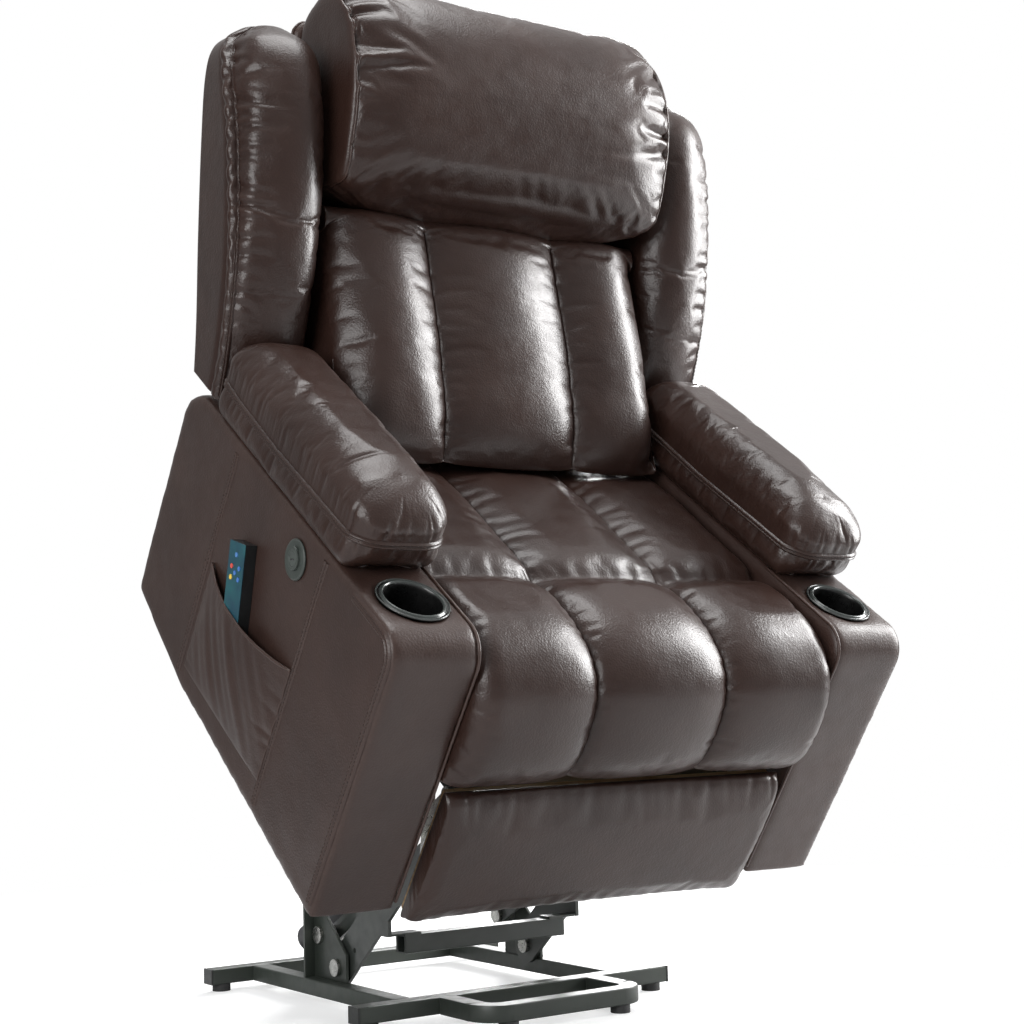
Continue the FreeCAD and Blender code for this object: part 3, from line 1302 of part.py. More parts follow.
def handset_frame():
    """The handset's frame: origin at its lower end's middle, Z along it."""
    turn = Rotation(Vector(1, 0, 0), -size("handset_lean"))
    top = Vector(-size("overall_width") / 2.0 - size("handset_gap"), size("handset_top_back"),
                 size("handset_top_up"))
    low = top - turn.multVec(Vector(0, 0, size("handset_length")))
    return chair.multiply(Placement(low, turn))


def build_handset():
    place = handset_frame()
    body = box("handset_block", ("-handset_depth", "handset_depth"), ("-handset_width / 2", "handset_width"),
               ("0", "handset_length"))
    tools = []
    for name, y, z in HANDSET_KEYS:
        tools.append(cylinder("pocket_" + name, "key_radius + 0.15", "3.5 + key_travel",
                              ("-handset_depth - 1", f"{y}", f"{z}")))
    keep(cut("handset", body, tools), "handset", place)
    for name, y, z in HANDSET_KEYS:
        key = cylinder("key_" + name, "key_radius", "key_proud + 2.3",
                       ("-handset_depth - key_proud", f"{y}", f"{z}"))
        keep(group("key_part_" + name, [key]), "handset_key_" + name, place)


# Build, check and write


def report_pivots():
    """The pivots and turns that the moving parts share, in the part's own frame."""
    flap_pivot = Vector(-size("overall_width") / 2.0 - size("port_proud") - size("flap_thickness") - 0.1,
                        size("port_back"),
                        size("deck_height") - size("port_drop") + size("flap_radius") + 3.0)
    for name, spot in (("lower_pivot", lower_pivot), ("upper_pivot", upper_pivot), ("link_pivot", link_pivot),
                       ("motor_pin", motor_pin), ("rod_pin", rod_pin),
                       ("recline_pin", chair.multVec(recline_local)),
                       ("crank_pin", chair.multVec(crank_local + Vector(size("recline_offset"), 0, 0))),
                       ("back_hinge", chair.multVec(hinge_local)),
                       ("fixed_pivot", chair.multVec(fixed_pivot)), ("low_pivot", chair.multVec(low_pivot)),
                       ("middle_rear", chair.multVec((fixed_pivot + low_pivot) * 0.5)),
                       ("middle_front", chair.multVec((low_pivot + board_pivot) * 0.5)),
                       ("board_pivot", chair.multVec(board_pivot)),
                       ("flap_pivot", chair.multVec(flap_pivot))):
        print(f"pivot {name} {spot.x:.3f} {spot.y:.3f} {spot.z:.3f}")
    print(f"turn lift_arm {lift_arm_turn:.4f}")
    print(f"turn rear_link {link_turn:.4f}")
    raised = rod_pin - motor_pin
    lowered = rod_pin_seated - motor_pin
    print(f"turn lift_motor {direction(lowered) - direction(raised):.4f}")
    print(f"travel lift_rod {raised.Length:.3f} {lowered.Length:.3f}")
    crank = crank_local - hinge_local
    reclined = hinge_local + Rotation(Vector(1, 0, 0), -size("recline_angle")).multVec(crank)
    base = Vector(0, recline_local.y, recline_local.z)
    print(f"turn recline_motor {direction(reclined - base) - direction(crank_local - base):.4f}")
    print(f"travel recline_rod {(crank_local - base).Length:.3f} {(reclined - base).Length:.3f}")
    print(f"frame chair {chair.Base.y:.3f} {chair.Base.z:.3f} seated {seated.Base.y:.3f} {seated.Base.z:.3f}")


def build():
    build_base()
    build_brackets()
    build_lower_bolts()
    build_lift_arms()
    build_rear_links()
    build_carriage()
    build_clevises()
    build_seat_frame()
    build_actuators()
    build_control_box()
    build_footrest()
    build_seat()
    build_back_frame()
    build_hinges()
    build_back_soft()
    build_arms()
    build_arm_furniture()
    build_port()
    build_pocket()
    build_handset()
    doc.recompute()


def check():
    """Stop if any object failed or any sub-part has no sound solid."""
    for thing in doc.Objects:
        if "Invalid" in thing.State or "Error" in thing.State:
            raise RuntimeError(f"{thing.Label} did not recompute: {thing.State}")
    labels = [thing.Label for thing in nodes]
    if len(set(labels)) != len(labels):
        raise RuntimeError("two sub-parts share a name")
    for thing in nodes:
        shape = thing.Shape
        if shape.isNull() or not shape.isValid() or not shape.Solids:
            raise RuntimeError(f"{thing.Label} has no sound solid")


def write():
    os.makedirs("parts", exist_ok=True)
    total = FreeCAD.BoundBox()
    for thing in nodes:
        thing.Shape.exportStep(os.path.join("parts", thing.Label + ".step"))
        total.add(thing.Shape.optimalBoundingBox())
    print(f"{len(nodes)} sub-parts, from {total.XMin:.1f} {total.YMin:.1f} {total.ZMin:.1f}"
          f" to {total.XMax:.1f} {total.YMax:.1f} {total.ZMax:.1f}")


build()
check()
report_pivots()
write()
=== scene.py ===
import math

import bmesh
import bpy
import numpy as np
from mathutils import Matrix, Vector


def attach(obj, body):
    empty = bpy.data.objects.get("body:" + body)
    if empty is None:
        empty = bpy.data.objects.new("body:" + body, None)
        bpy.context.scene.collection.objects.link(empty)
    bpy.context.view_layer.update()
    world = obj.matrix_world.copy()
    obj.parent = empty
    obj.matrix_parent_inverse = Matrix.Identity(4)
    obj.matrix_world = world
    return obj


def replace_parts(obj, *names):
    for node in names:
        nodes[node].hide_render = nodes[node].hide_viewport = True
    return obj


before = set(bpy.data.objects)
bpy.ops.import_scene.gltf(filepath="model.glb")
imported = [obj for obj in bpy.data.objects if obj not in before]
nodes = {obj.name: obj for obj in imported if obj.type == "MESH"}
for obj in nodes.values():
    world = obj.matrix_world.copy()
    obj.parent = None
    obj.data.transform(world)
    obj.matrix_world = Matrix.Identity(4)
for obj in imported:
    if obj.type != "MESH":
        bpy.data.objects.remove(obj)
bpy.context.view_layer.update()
scene = bpy.context.scene


# Frames: every form is written in millimetres in the frame of what carries it


def tilted(degrees):
    angle = math.radians(degrees)
    c, s = math.cos(angle), math.sin(angle)
    return np.array([[1.0, 0.0, 0.0], [0.0, c, -s], [0.0, s, c]])


CHAIR = (tilted(35.0), np.array([0.0, -0.2206, 0.1897]))
BACK = (CHAIR[0] @ tilted(-27.4), CHAIR[1] + CHAIR[0] @ np.array([0.0, 0.661, 0.300]))
ON_CHAIR = (CHAIR, "carriage")
ON_BACK = (BACK, "backrest")


def placed(points, place):
    """Points in a local frame in millimetres, moved to the part's frame in metres."""
    turn, origin = place
    return origin + 0.001 * np.asarray(points, float) @ turn.T


# Lines and small waves


def travelled(line):
    """How far along a line each of its points lies."""
    return np.r_[0.0, np.cumsum(np.linalg.norm(np.diff(line, axis=0), axis=1))]


def read_at(way, steps, line):
    """A line's point at a way along it."""
    return np.array([np.interp(way, steps, line[:, k]) for k in range(line.shape[1])])


def even(line, count):
    """A line sampled again at even steps."""
    line = np.asarray(line, float)
    steps = travelled(line)
    return read_at(np.linspace(0.0, steps[-1], count), steps, line).T


def smooth(points, count, closed=False):
    """A smooth line through the points."""
    p = np.asarray(points, float)
    if closed:
        p = np.vstack([p[-1], p, p[0], p[1]])
    else:
        p = np.vstack([2 * p[0] - p[1], p, 2 * p[-1] - p[-2]])
    t = np.linspace(0.0, 1.0, 12, endpoint=False)[:, None]
    runs = []
    for i in range(1, len(p) - 2):
        a, b, c, d = p[i - 1:i + 3]
        runs.append(0.5 * (2 * b + (c - a) * t + (2 * a - 5 * b + 4 * c - d) * t ** 2
                           + (3 * b - a - 3 * c + d) * t ** 3))
    runs.append(p[-2][None])
    return even(np.vstack(runs), count)


def table(at, stations, values):
    """A smooth curve through a few stations, read at any place."""
    line = smooth(np.column_stack([stations, values]), 240)
    return np.interp(at, line[:, 0], line[:, 1])


def wander(along, pitch, seed):
    """A smooth irregular wave between about -1 and 1."""
    rng = np.random.default_rng(seed)
    total = 0.0
    for share in (1.0, 1.73, 2.91, 0.57):
        total = total + np.sin(2 * np.pi * along * share / pitch + rng.uniform(0, 2 * np.pi))
    return total / 2.6


def gathers(along, away, pitch, depth, reach, seed, sharp=0.75):
    """Creases that start at a seam and fade away from it: negative in a crease."""
    bent = along + 0.3 * pitch * wander(along, 5 * pitch, seed)
    bent = bent + 0.25 * away * wander(along, 3.1 * pitch, seed + 1)
    fold = np.abs(np.sin(np.pi * bent / pitch)) ** sharp
    strength = np.clip(0.6 + 0.5 * wander(along, 2.7 * pitch, seed + 2), 0.05, 1.2)
    length = reach * np.clip(0.7 + 0.4 * wander(along, 2.1 * pitch, seed + 3), 0.25, 1.2)
    return -depth * strength * (1 - fold) * np.exp(-(away / length) ** 2)


def swell(t, power=2.2, root=0.6):
    """1 in the middle of a channel and 0 at its seams, t from -1 to 1."""
    return np.clip(1 - np.abs(t) ** power, 0, 1) ** root


def normals(ring):
    """Outward normals of a closed ring in its own plane."""
    ahead = np.roll(ring, -1, axis=0) - np.roll(ring, 1, axis=0)
    out = np.column_stack([ahead[:, 1], -ahead[:, 0]])
    out /= np.linalg.norm(out, axis=1)[:, None] + 1e-9
    area = np.sum(ring[:, 0] * np.roll(ring[:, 1], -1) - np.roll(ring[:, 0], -1) * ring[:, 1])
    return out if area > 0 else -out


# Meshes


def sided(name, side):
    return name + ("_right" if side > 0 else "_left")


def mesh_object(name, points, faces, weld=None):
    """An object from points in metres, its faces turned outward."""
    data = bpy.data.meshes.new(name)
    data.from_pydata(points.tolist(), [], [list(map(int, face)) for face in faces])
    if weld:
        data.validate()
    work = bmesh.new()
    work.from_mesh(data)
    if weld:
        bmesh.ops.remove_doubles(work, verts=work.verts, dist=weld)
    bmesh.ops.recalc_face_normals(work, faces=work.faces)
    work.to_mesh(data)
    work.free()
    thing = bpy.data.objects.new(name, data)
    scene.collection.objects.link(thing)
    return thing


def piece(name, points, faces, carrier, finish):
    """A mesh piece: the carrier is its frame and body, the finish its material; the finish's slot name is not
    used.
    """
    thing = mesh_object(name, placed(points, carrier[0]), faces, 0.00001)
    data = thing.data
    data.polygons.foreach_set("use_smooth", [True] * len(data.polygons))
    data.materials.append(finish[0])
    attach(thing, carrier[1])
    return thing


def grid_faces(rows, columns, wrap=True, start=0):
    """Quads over a grid of points."""
    last = columns if wrap else columns - 1
    faces = []
    for i in range(rows - 1):
        for j in range(last):
            k = (j + 1) % columns
            faces.append((start + i * columns + j, start + i * columns + k,
                          start + (i + 1) * columns + k, start + (i + 1) * columns + j))
    return faces


def cap_faces(start, columns):
    """Strips that close one ring from side to side."""
    faces = []
    low, high = 0, columns - 1
    while high - low > 2:
        faces.append((start + low, start + low + 1, start + high - 1, start + high))
        low, high = low + 1, high - 1
    if high - low == 2:
        faces.append((start + low, start + low + 1, start + high))
    return faces


def closed_faces(rows, columns):
    """A tube of rings, closed over each end."""
    return grid_faces(rows, columns) + cap_faces(0, columns) + cap_faces((rows - 1) * columns, columns)


def modified(thing, name, kind, **values):
    """Add a modifier with its settings."""
    modifier = thing.modifiers.new(name, kind)
    for key, value in values.items():
        setattr(modifier, key, value)


def subdivided(thing):
    modified(thing, "smooth", "SUBSURF", levels=1, render_levels=1)
    return thing


def padded_cover(node, points, faces, carrier):
    """A padded leather cover in place of a CAD piece."""
    cover = piece(node + "_cover", points, faces, carrier, SOFT)
    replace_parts(cover, node)
    subdivided(cover)


def section(x, flat):
    """A flat outline's points at one place across."""
    return np.column_stack([np.full(len(flat), x), flat])


def lathe(name, profile, centre, axis_turn, body, finish):
    """A turned piece on the chair: the profile is (radius, height) pairs round the local Z."""
    sides = 72
    angle = np.linspace(0, 2 * np.pi, sides, endpoint=False)
    rings = [np.column_stack([radius * np.cos(angle), radius * np.sin(angle), np.full(sides, height)])
             for radius, height in np.asarray(profile, float)]
    points = np.vstack(rings) @ np.asarray(axis_turn).T + np.asarray(centre)
    return piece(name, points, closed_faces(len(profile), sides), (CHAIR, body), finish)


def sweep(path, across, up, profile, closed_profile=False):
    """Points and faces of a profile moved along a path."""
    path, across, up = (np.asarray(v, float) for v in (path, across, up))
    rows = [path + across * a + up * h for a, h in profile]
    points = np.stack(rows, axis=1).reshape(-1, 3)
    faces = grid_faces(len(path), len(profile), wrap=closed_profile)
    if closed_profile:
        faces += cap_faces(0, len(profile)) + cap_faces((len(path) - 1) * len(profile), len(profile))
    return points, faces


def round_profile(radius, sides=10):
    angle = np.linspace(0, 2 * np.pi, sides, endpoint=False)
    return np.column_stack([radius * np.cos(angle), radius * np.sin(angle)])


SEAM_PROFILE = [(-8.0, -2.2), (-6.2, 0.2), (-4.2, 1.5), (-2.2, 1.6), (-0.9, -0.6), (0.9, -0.6), (2.2, 1.6),
                (4.2, 1.5), (6.2, 0.2), (8.0, -2.2)]


def side_ways(path, up):
    """Unit vectors across a path that lies on a surface with the given normal."""
    along = np.gradient(np.asarray(path, float), axis=0)
    across = np.cross(along, up)
    return across / (np.linalg.norm(across, axis=1)[:, None] + 1e-9)


STITCH_PITCH = 6.5
STITCH_LENGTH = 4.4
THREAD_RADIUS = 0.42


def stitch_mesh(path, across, up, offsets):
    """Short capsules in rows beside a path."""
    steps = travelled(path)
    ring = round_profile(1.0, 6)
    points, faces = [], []
    for offset in offsets:
        for start in np.arange(2.0, steps[-1] - STITCH_LENGTH, STITCH_PITCH):
            ends = [read_at(way, steps, path) for way in (start, start + STITCH_LENGTH)]
            side = read_at(start, steps, across)
            high = read_at(start, steps, up)
            first = len(points) * 6
            for share, size in ((0.0, 0.45), (0.2, 1.0), (0.8, 1.0), (1.0, 0.45)):
                centre = ends[0] + (ends[1] - ends[0]) * share + side * offset
                centre = centre + high * (1.6 - 0.4 * (1 - size))
                points.append(centre + side * ring[:, :1] * THREAD_RADIUS * size
                              + high * ring[:, 1:] * THREAD_RADIUS * size)
            faces += grid_faces(4, 6, start=first) + cap_faces(first, 6) + cap_faces(first + 18, 6)
    return np.vstack(points), faces


def sewn(name, path, up, carrier, finish, width=1.0, stitches=3.4):
    """A raised seam with a groove and two rows of stitches, lying on a surface."""
    path = np.asarray(path, float)
    across = side_ways(path, up)
    points, faces = sweep(path, across, up, [(a * width, h) for a, h in SEAM_PROFILE])
    welt = piece(name, points, faces, carrier, finish)
    points, faces = stitch_mesh(path, across, up, (-stitches, stitches))
    piece(name + "_stitches", points, faces, carrier, (THREAD, finish[1]))
    subdivided(welt)


def seam(name, path, up, carrier):
    """A straight or cornered seam on a panel."""
    path = even(path, max(12, int(travelled(path)[-1] / 6)))
    up = np.asarray(up, float) * np.ones((len(path), 1))
    sewn(name, path, up, carrier, PANEL)


def cord(name, path, radius, carrier, finish):
    """A round piping along a path."""
    path = even(path, max(12, int(travelled(path)[-1] / 7)))
    along = np.gradient(path, axis=0)
    along /= np.linalg.norm(along, axis=1)[:, None]
    first = np.cross(along, np.array([1.0, 0.31, 0.17]))
    first /= np.linalg.norm(first, axis=1)[:, None]
    points, faces = sweep(path, first, np.cross(along, first), round_profile(radius), True)
    piece(name, points, faces, carrier, finish)


# Cloth: a cover swells under pressure, held where it is sewn or rests on something


CLOTH_FRAMES = 12
CLOTH = {"quality": 3, "mass": 0.25, "tension_stiffness": 12.0, "compression_stiffness": 12.0,
         "shear_stiffness": 4.0, "bending_stiffness": 0.35, "use_pressure": True,
         "uniform_pressure_force": 4.0, "vertex_group_mass": "held", "pin_stiffness": 1.0}


def settled(points, faces, held, slack, cap):
    """The points after the cover, cut a little too large, has swelled and wrinkled."""
    points = np.asarray(points, float)
    thing = mesh_object("settling", points * 0.001, faces)
    group = thing.vertex_groups.new(name="held")
    for index in range(len(points)):
        if held[index] > 0.01:
            group.add([index], float(min(1.0, held[index])), "REPLACE")
    cloth = thing.modifiers.new("cloth", "CLOTH")
    for key, value in CLOTH.items():
        setattr(cloth.settings, key, value)
    cloth.settings.shrink_min = -slack
    cloth.settings.effector_weights.gravity = 0.0
    cloth.collision_settings.use_collision = False
    cloth.collision_settings.use_self_collision = False
    cloth.point_cache.frame_start = 1
    cloth.point_cache.frame_end = CLOTH_FRAMES
    for number in range(1, CLOTH_FRAMES + 1):
        scene.frame_set(number)
    shape = thing.evaluated_get(bpy.context.evaluated_depsgraph_get()).data
    moved = np.empty(len(points) * 3)
    shape.vertices.foreach_get("co", moved)
    moved = moved.reshape(-1, 3) * 1000.0 - points
    data = thing.data
    bpy.data.objects.remove(thing)
    bpy.data.meshes.remove(data)
    scene.frame_set(1)
    length = np.linalg.norm(moved, axis=1)[:, None] + 1e-9
    return points + moved * np.minimum(1.0, cap / length)


# Materials


def rgb(red, green, blue):
    """A colour written as screen values from 0 to 255."""
    return tuple(((c / 255 + 0.055) / 1.055) ** 2.4 if c > 10 else c / 255 / 12.92
                 for c in (red, green, blue)) + (1.0,)


class Nodes:
    """The node tree of a material or world, with short calls for the nodes used here."""

    def __init__(self, owner):
        owner.use_nodes = True
        self.owner = owner
        self.tree = owner.node_tree
        self.space = self.add("TexCoord").outputs["Object"]

    def add(self, kind, **values):
        """A node: values with a capital are its inputs, the others its settings."""
        node = self.tree.nodes.new("ShaderNode" + kind)
        for key, value in values.items():
            if key[0].isupper():
                node.inputs[key.replace("_", " ")].default_value = value
            else:
                setattr(node, key, value)
        return node

    def link(self, output, target):
        self.tree.links.new(output, target)

    def fed(self, source, target, kind, **values):
        """A node with one input fed by a source."""
        node = self.add(kind, **values)
        self.link(source, node.inputs[target])
        return node

    def joined(self, sources, kind, **values):
        """A node's first output, its first inputs fed by the sources."""
        node = self.add(kind, **values)
        for index, source in enumerate(sources):
            self.link(source, node.inputs[index])
        return node.outputs[0]

    def noise(self, scale, detail=3.0, roughness=0.55, stretch=None):
        source = self.space if stretch is None else self.stretched(stretch)
        node = self.fed(source, "Vector", "TexNoise", Scale=scale, Detail=detail, Roughness=roughness)
        return node.outputs["Fac"]

    def stretched(self, scale):
        return self.fed(self.space, "Vector", "Mapping", Scale=scale).outputs["Vector"]

    def cells(self, scale):
        return self.fed(self.space, "Vector", "TexVoronoi", Scale=scale).outputs["Distance"]

    def ramp(self, source, low, high, start=0.0, end=1.0):
        node = self.fed(source, "Value", "MapRange", From_Min=low, From_Max=high, To_Min=start, To_Max=end)
        return node.outputs["Result"]

    def mix(self, factor, first, second):
        node = self.fed(factor, "Factor", "Mix", data_type="RGBA")
        for value, socket in ((first, node.inputs[6]), (second, node.inputs[7])):
            if isinstance(value, tuple):
                socket.default_value = value
            else:
                self.link(value, socket)
        return node.outputs[2]

    def bump(self, height, strength, distance, below=None):
        node = self.fed(height, "Height", "Bump", Strength=strength, Distance=distance)
        if below is not None:
            self.link(below, node.inputs["Normal"])
        return node.outputs["Normal"]

    def finish(self, colour, roughness, normal, **plain):
        inputs = self.tree.nodes["Principled BSDF"].inputs
        self.link(colour, inputs["Base Color"])
        self.link(roughness, inputs["Roughness"])
        self.link(normal, inputs["Normal"])
        for name, value in plain.items():
            inputs[name.replace("_", " ")].default_value = value
        return self.owner

    def edges(self, low, high):
        """1 on worn convex edges."""
        return self.ramp(self.add("NewGeometry").outputs["Pointiness"], low, high)


def new_nodes(name):
    return Nodes(bpy.data.materials.new(name))


def leather(name, shade, light, gloss, wrinkle=0.25):
    """Pebbled leather: fine grain, soft rumples, tone variation and rubbed edges."""
    n = new_nodes(name)
    tone = n.mix(n.ramp(n.noise(7.0, 4.0), 0.3, 0.7), rgb(*shade), rgb(*light))
    rubbed = n.mix(n.ramp(n.edges(0.505, 0.56), 0.0, 1.0, 0.0, 0.35), tone, rgb(84, 62, 54))
    pores = n.ramp(n.cells(620.0), 0.0, 0.7)
    colour = n.mix(n.ramp(pores, 0.0, 1.0, 0.0, 0.22), rubbed, rgb(24, 15, 13))
    rough = n.ramp(n.noise(34.0, 4.0), 0.3, 0.7, gloss - 0.05, gloss + 0.07)
    rumple = n.bump(n.noise(22.0, 5.0, 0.6), wrinkle, 0.004)
    grain = n.bump(n.cells(330.0), 0.34, 0.0007, rumple)
    fine = n.bump(n.noise(1500.0, 2.0), 0.16, 0.0003, grain)
    return n.finish(colour, rough, fine, Coat_Weight=0.08, Coat_Roughness=0.2, Specular_IOR_Level=0.45)


def paint(name, shade, light, gloss=0.34):
    """Powder-coated steel: fine orange peel, dust and bright rubbed edges."""
    n = new_nodes(name)
    tone = n.mix(n.ramp(n.noise(16.0, 5.0), 0.35, 0.7), rgb(*shade), rgb(*light))
    colour = n.mix(n.ramp(n.edges(0.52, 0.6), 0.0, 1.0, 0.0, 0.4), tone, rgb(92, 98, 92))
    rough = n.ramp(n.noise(60.0, 4.0), 0.3, 0.7, gloss - 0.06, gloss + 0.1)
    peel = n.bump(n.noise(420.0, 2.0), 0.22, 0.0004)
    return n.finish(colour, rough, peel, Coat_Weight=0.15, Coat_Roughness=0.2)


def metal(name, shade, gloss, brushed=(1.0, 1.0, 1.0)):
    """Plated or turned steel with fine drag marks."""
    n = new_nodes(name)
    dull = tuple(int(c * 0.72) for c in shade)
    colour = n.mix(n.ramp(n.noise(90.0, 4.0), 0.3, 0.75), rgb(*shade), rgb(*dull))
    rough = n.ramp(n.noise(240.0, 3.0, 0.5, brushed), 0.3, 0.7, gloss - 0.08, gloss + 0.12)
    marks = n.bump(n.noise(900.0, 2.0, 0.5, brushed), 0.12, 0.0002)
    return n.finish(colour, rough, marks, Metallic=1.0)


def plastic(name, shade, light, gloss=0.42, texture=700.0, depth=0.14):
    """Moulded plastic or rubber with a spark-eroded texture."""
    n = new_nodes(name)
    tone = n.mix(n.ramp(n.noise(30.0, 4.0), 0.35, 0.7), rgb(*shade), rgb(*light))
    rubbed = rgb(*[min(255, c + 40) for c in light])
    colour = n.mix(n.ramp(n.edges(0.52, 0.6), 0.0, 1.0, 0.0, 0.3), tone, rubbed)
    rough = n.ramp(n.noise(120.0, 3.0), 0.3, 0.7, gloss - 0.06, gloss + 0.08)
    return n.finish(colour, rough, n.bump(n.noise(texture, 2.0), depth, 0.0003))


def timber(name, early=(205, 172, 128), late=(176, 138, 96), pore=(120, 86, 56)):
    """Sawn softwood with rings and pores along X."""
    n = new_nodes(name)
    wave = n.fed(n.stretched((0.25, 1.0, 1.0)), "Vector", "TexWave", wave_type="RINGS", rings_direction="X",
                 Scale=26.0, Distortion=5.0, Detail=3.0)
    tone = n.mix(wave.outputs["Fac"], rgb(*late), rgb(*early))
    pores = n.noise(300.0, 3.0, 0.6, (0.08, 1.0, 1.0))
    colour = n.mix(n.ramp(pores, 0.35, 0.8, 0.0, 0.4), tone, rgb(*pore))
    return n.finish(colour, n.ramp(pores, 0.3, 0.7, 0.55, 0.75), n.bump(pores, 0.2, 0.0006))


def woven(name, shade, light):
    """Flat woven strap."""
    n = new_nodes(name)
    wave = n.fed(n.space, "Vector", "TexWave", wave_type="BANDS", bands_direction="DIAGONAL", Scale=160.0,
                 Distortion=1.0)
    tone = n.mix(wave.outputs["Fac"], rgb(*shade), rgb(*light))
    colour = n.mix(n.ramp(n.noise(40.0), 0.3, 0.7, 0.0, 0.3), tone, rgb(*shade))
    rough = n.ramp(n.noise(80.0), 0.3, 0.7, 0.7, 0.85)
    return n.finish(colour, rough, n.bump(wave.outputs["Fac"], 0.5, 0.0008))


SOFT_LEATHER = leather("soft_leather", (45, 29, 24), (56, 38, 32), 0.33)
PANEL_LEATHER = leather("panel_leather", (54, 38, 33), (64, 46, 40), 0.40, 0.14)
THREAD = woven("seam_thread", (36, 26, 23), (64, 48, 42))
FRAME_PAINT = paint("frame_paint", (34, 39, 34), (42, 48, 42), 0.42)
LINK_PAINT = paint("linkage_paint", (44, 48, 45), (54, 58, 54))
ZINC = metal("zinc", (205, 205, 200), 0.3)
ROD_STEEL = metal("rod_steel", (190, 190, 190), 0.18, (1.0, 1.0, 0.15))
CAP_PLASTIC = plastic("cap_plastic", (26, 27, 26), (33, 34, 33))
MOTOR_PLASTIC = plastic("motor_plastic", (36, 36, 38), (44, 44, 46), 0.48)
RUBBER = plastic("foot_rubber", (30, 30, 30), (38, 38, 38), 0.7, 500.0, 0.25)
GUNMETAL = plastic("cup_gunmetal", (54, 58, 56), (66, 70, 68), 0.16, 300.0, 0.05)
CUP_BLACK = plastic("cup_black", (14, 14, 14), (20, 20, 20), 0.3, 300.0, 0.08)
PORT_PLASTIC = plastic("port_plastic", (48, 54, 50), (58, 64, 60), 0.44)
TIMBER = timber("timber")
DARK_TIMBER = timber("dark_timber", (44, 36, 29), (33, 27, 22), (18, 15, 12))
WEBBING = woven("webbing", (60, 54, 46), (92, 84, 72))
SOFT = (SOFT_LEATHER, "leather_foam")
PANEL = (PANEL_LEATHER, "panel_leather")


def handset_skin():
    """Black shell with a printed blue-green face on its outer side."""
    n = new_nodes("handset_skin")
    apart = n.fed(n.space, 0, "SeparateXYZ")
    face = n.ramp(apart.outputs["X"], -0.4682, -0.4676, 1.0, 0.0)
    tint = n.mix(n.ramp(n.noise(30.0), 0.3, 0.7), rgb(14, 58, 78), rgb(28, 88, 94))
    shell = n.mix(n.ramp(n.noise(60.0), 0.3, 0.7), rgb(16, 18, 19), rgb(24, 26, 27))
    rough = n.ramp(n.noise(120.0), 0.3, 0.7, 0.28, 0.4)
    return n.finish(n.mix(face, shell, tint), rough, n.bump(n.noise(600.0, 2.0), 0.1, 0.0003))


def dress(material, *names):
    """Give CAD pieces their material."""
    for name in names:
        slots = nodes[name].data.materials
        slots.clear()
        slots.append(material)


def eased(radius, *names):
    """Round the edges of rigid CAD pieces a little."""
    for name in names:
        modified(nodes[name], "weld", "WELD", merge_threshold=0.00002)
        modified(nodes[name], "edges", "BEVEL", width=radius * 0.001, segments=2, limit_method="ANGLE",
                 angle_limit=math.radians(40.0))


# The seat cushion: three channels, front rolls and a deep crease across


def channel_stations(half, seam, count):
    """Places across a cushion, close together at its seams, with each one's channel swell."""
    spots = []
    for low, high in ((-half, -seam), (-seam, seam), (seam, half)):
        turn = np.linspace(-1.0, 1.0, count)
        inside = np.sin(turn * np.pi / 2)
        x = (low + high) / 2 + (high - low) / 2 * inside
        value = swell(inside)
        if low < -seam - 1:
            value = np.where(inside < 0, 1.0, value)
        if high > seam + 1:
            value = np.where(inside > 0, 1.0, value)
        rows = list(zip(x, value))
        spots += rows if not spots else rows[1:]
    return np.array(spots)


def rolled_end(x, half, radius):
    """How far a side is drawn in as it rounds over to its end."""
    into = np.clip(np.abs(x) - (half - radius), 0, radius)
    return radius - np.sqrt(np.clip(radius ** 2 - into ** 2, 0, None))


def settled_channels(rows, stations, rested, half, slack):
    """A channelled cushion's points and faces, swelled, held at its seams and where it rests."""
    faces = closed_faces(len(stations), len(rested))
    at_seams = np.clip(1 - stations[:, 1] * 3.0, 0, 1)
    at_seams[[0, -1]] = 1
    held = np.maximum(np.tile(rested, len(stations)), np.repeat(at_seams, len(rested)))
    points = settled(np.vstack(rows), faces, held, slack, 12.0)
    points[:, 0] = np.clip(points[:, 0], -half, half)
    return points, faces


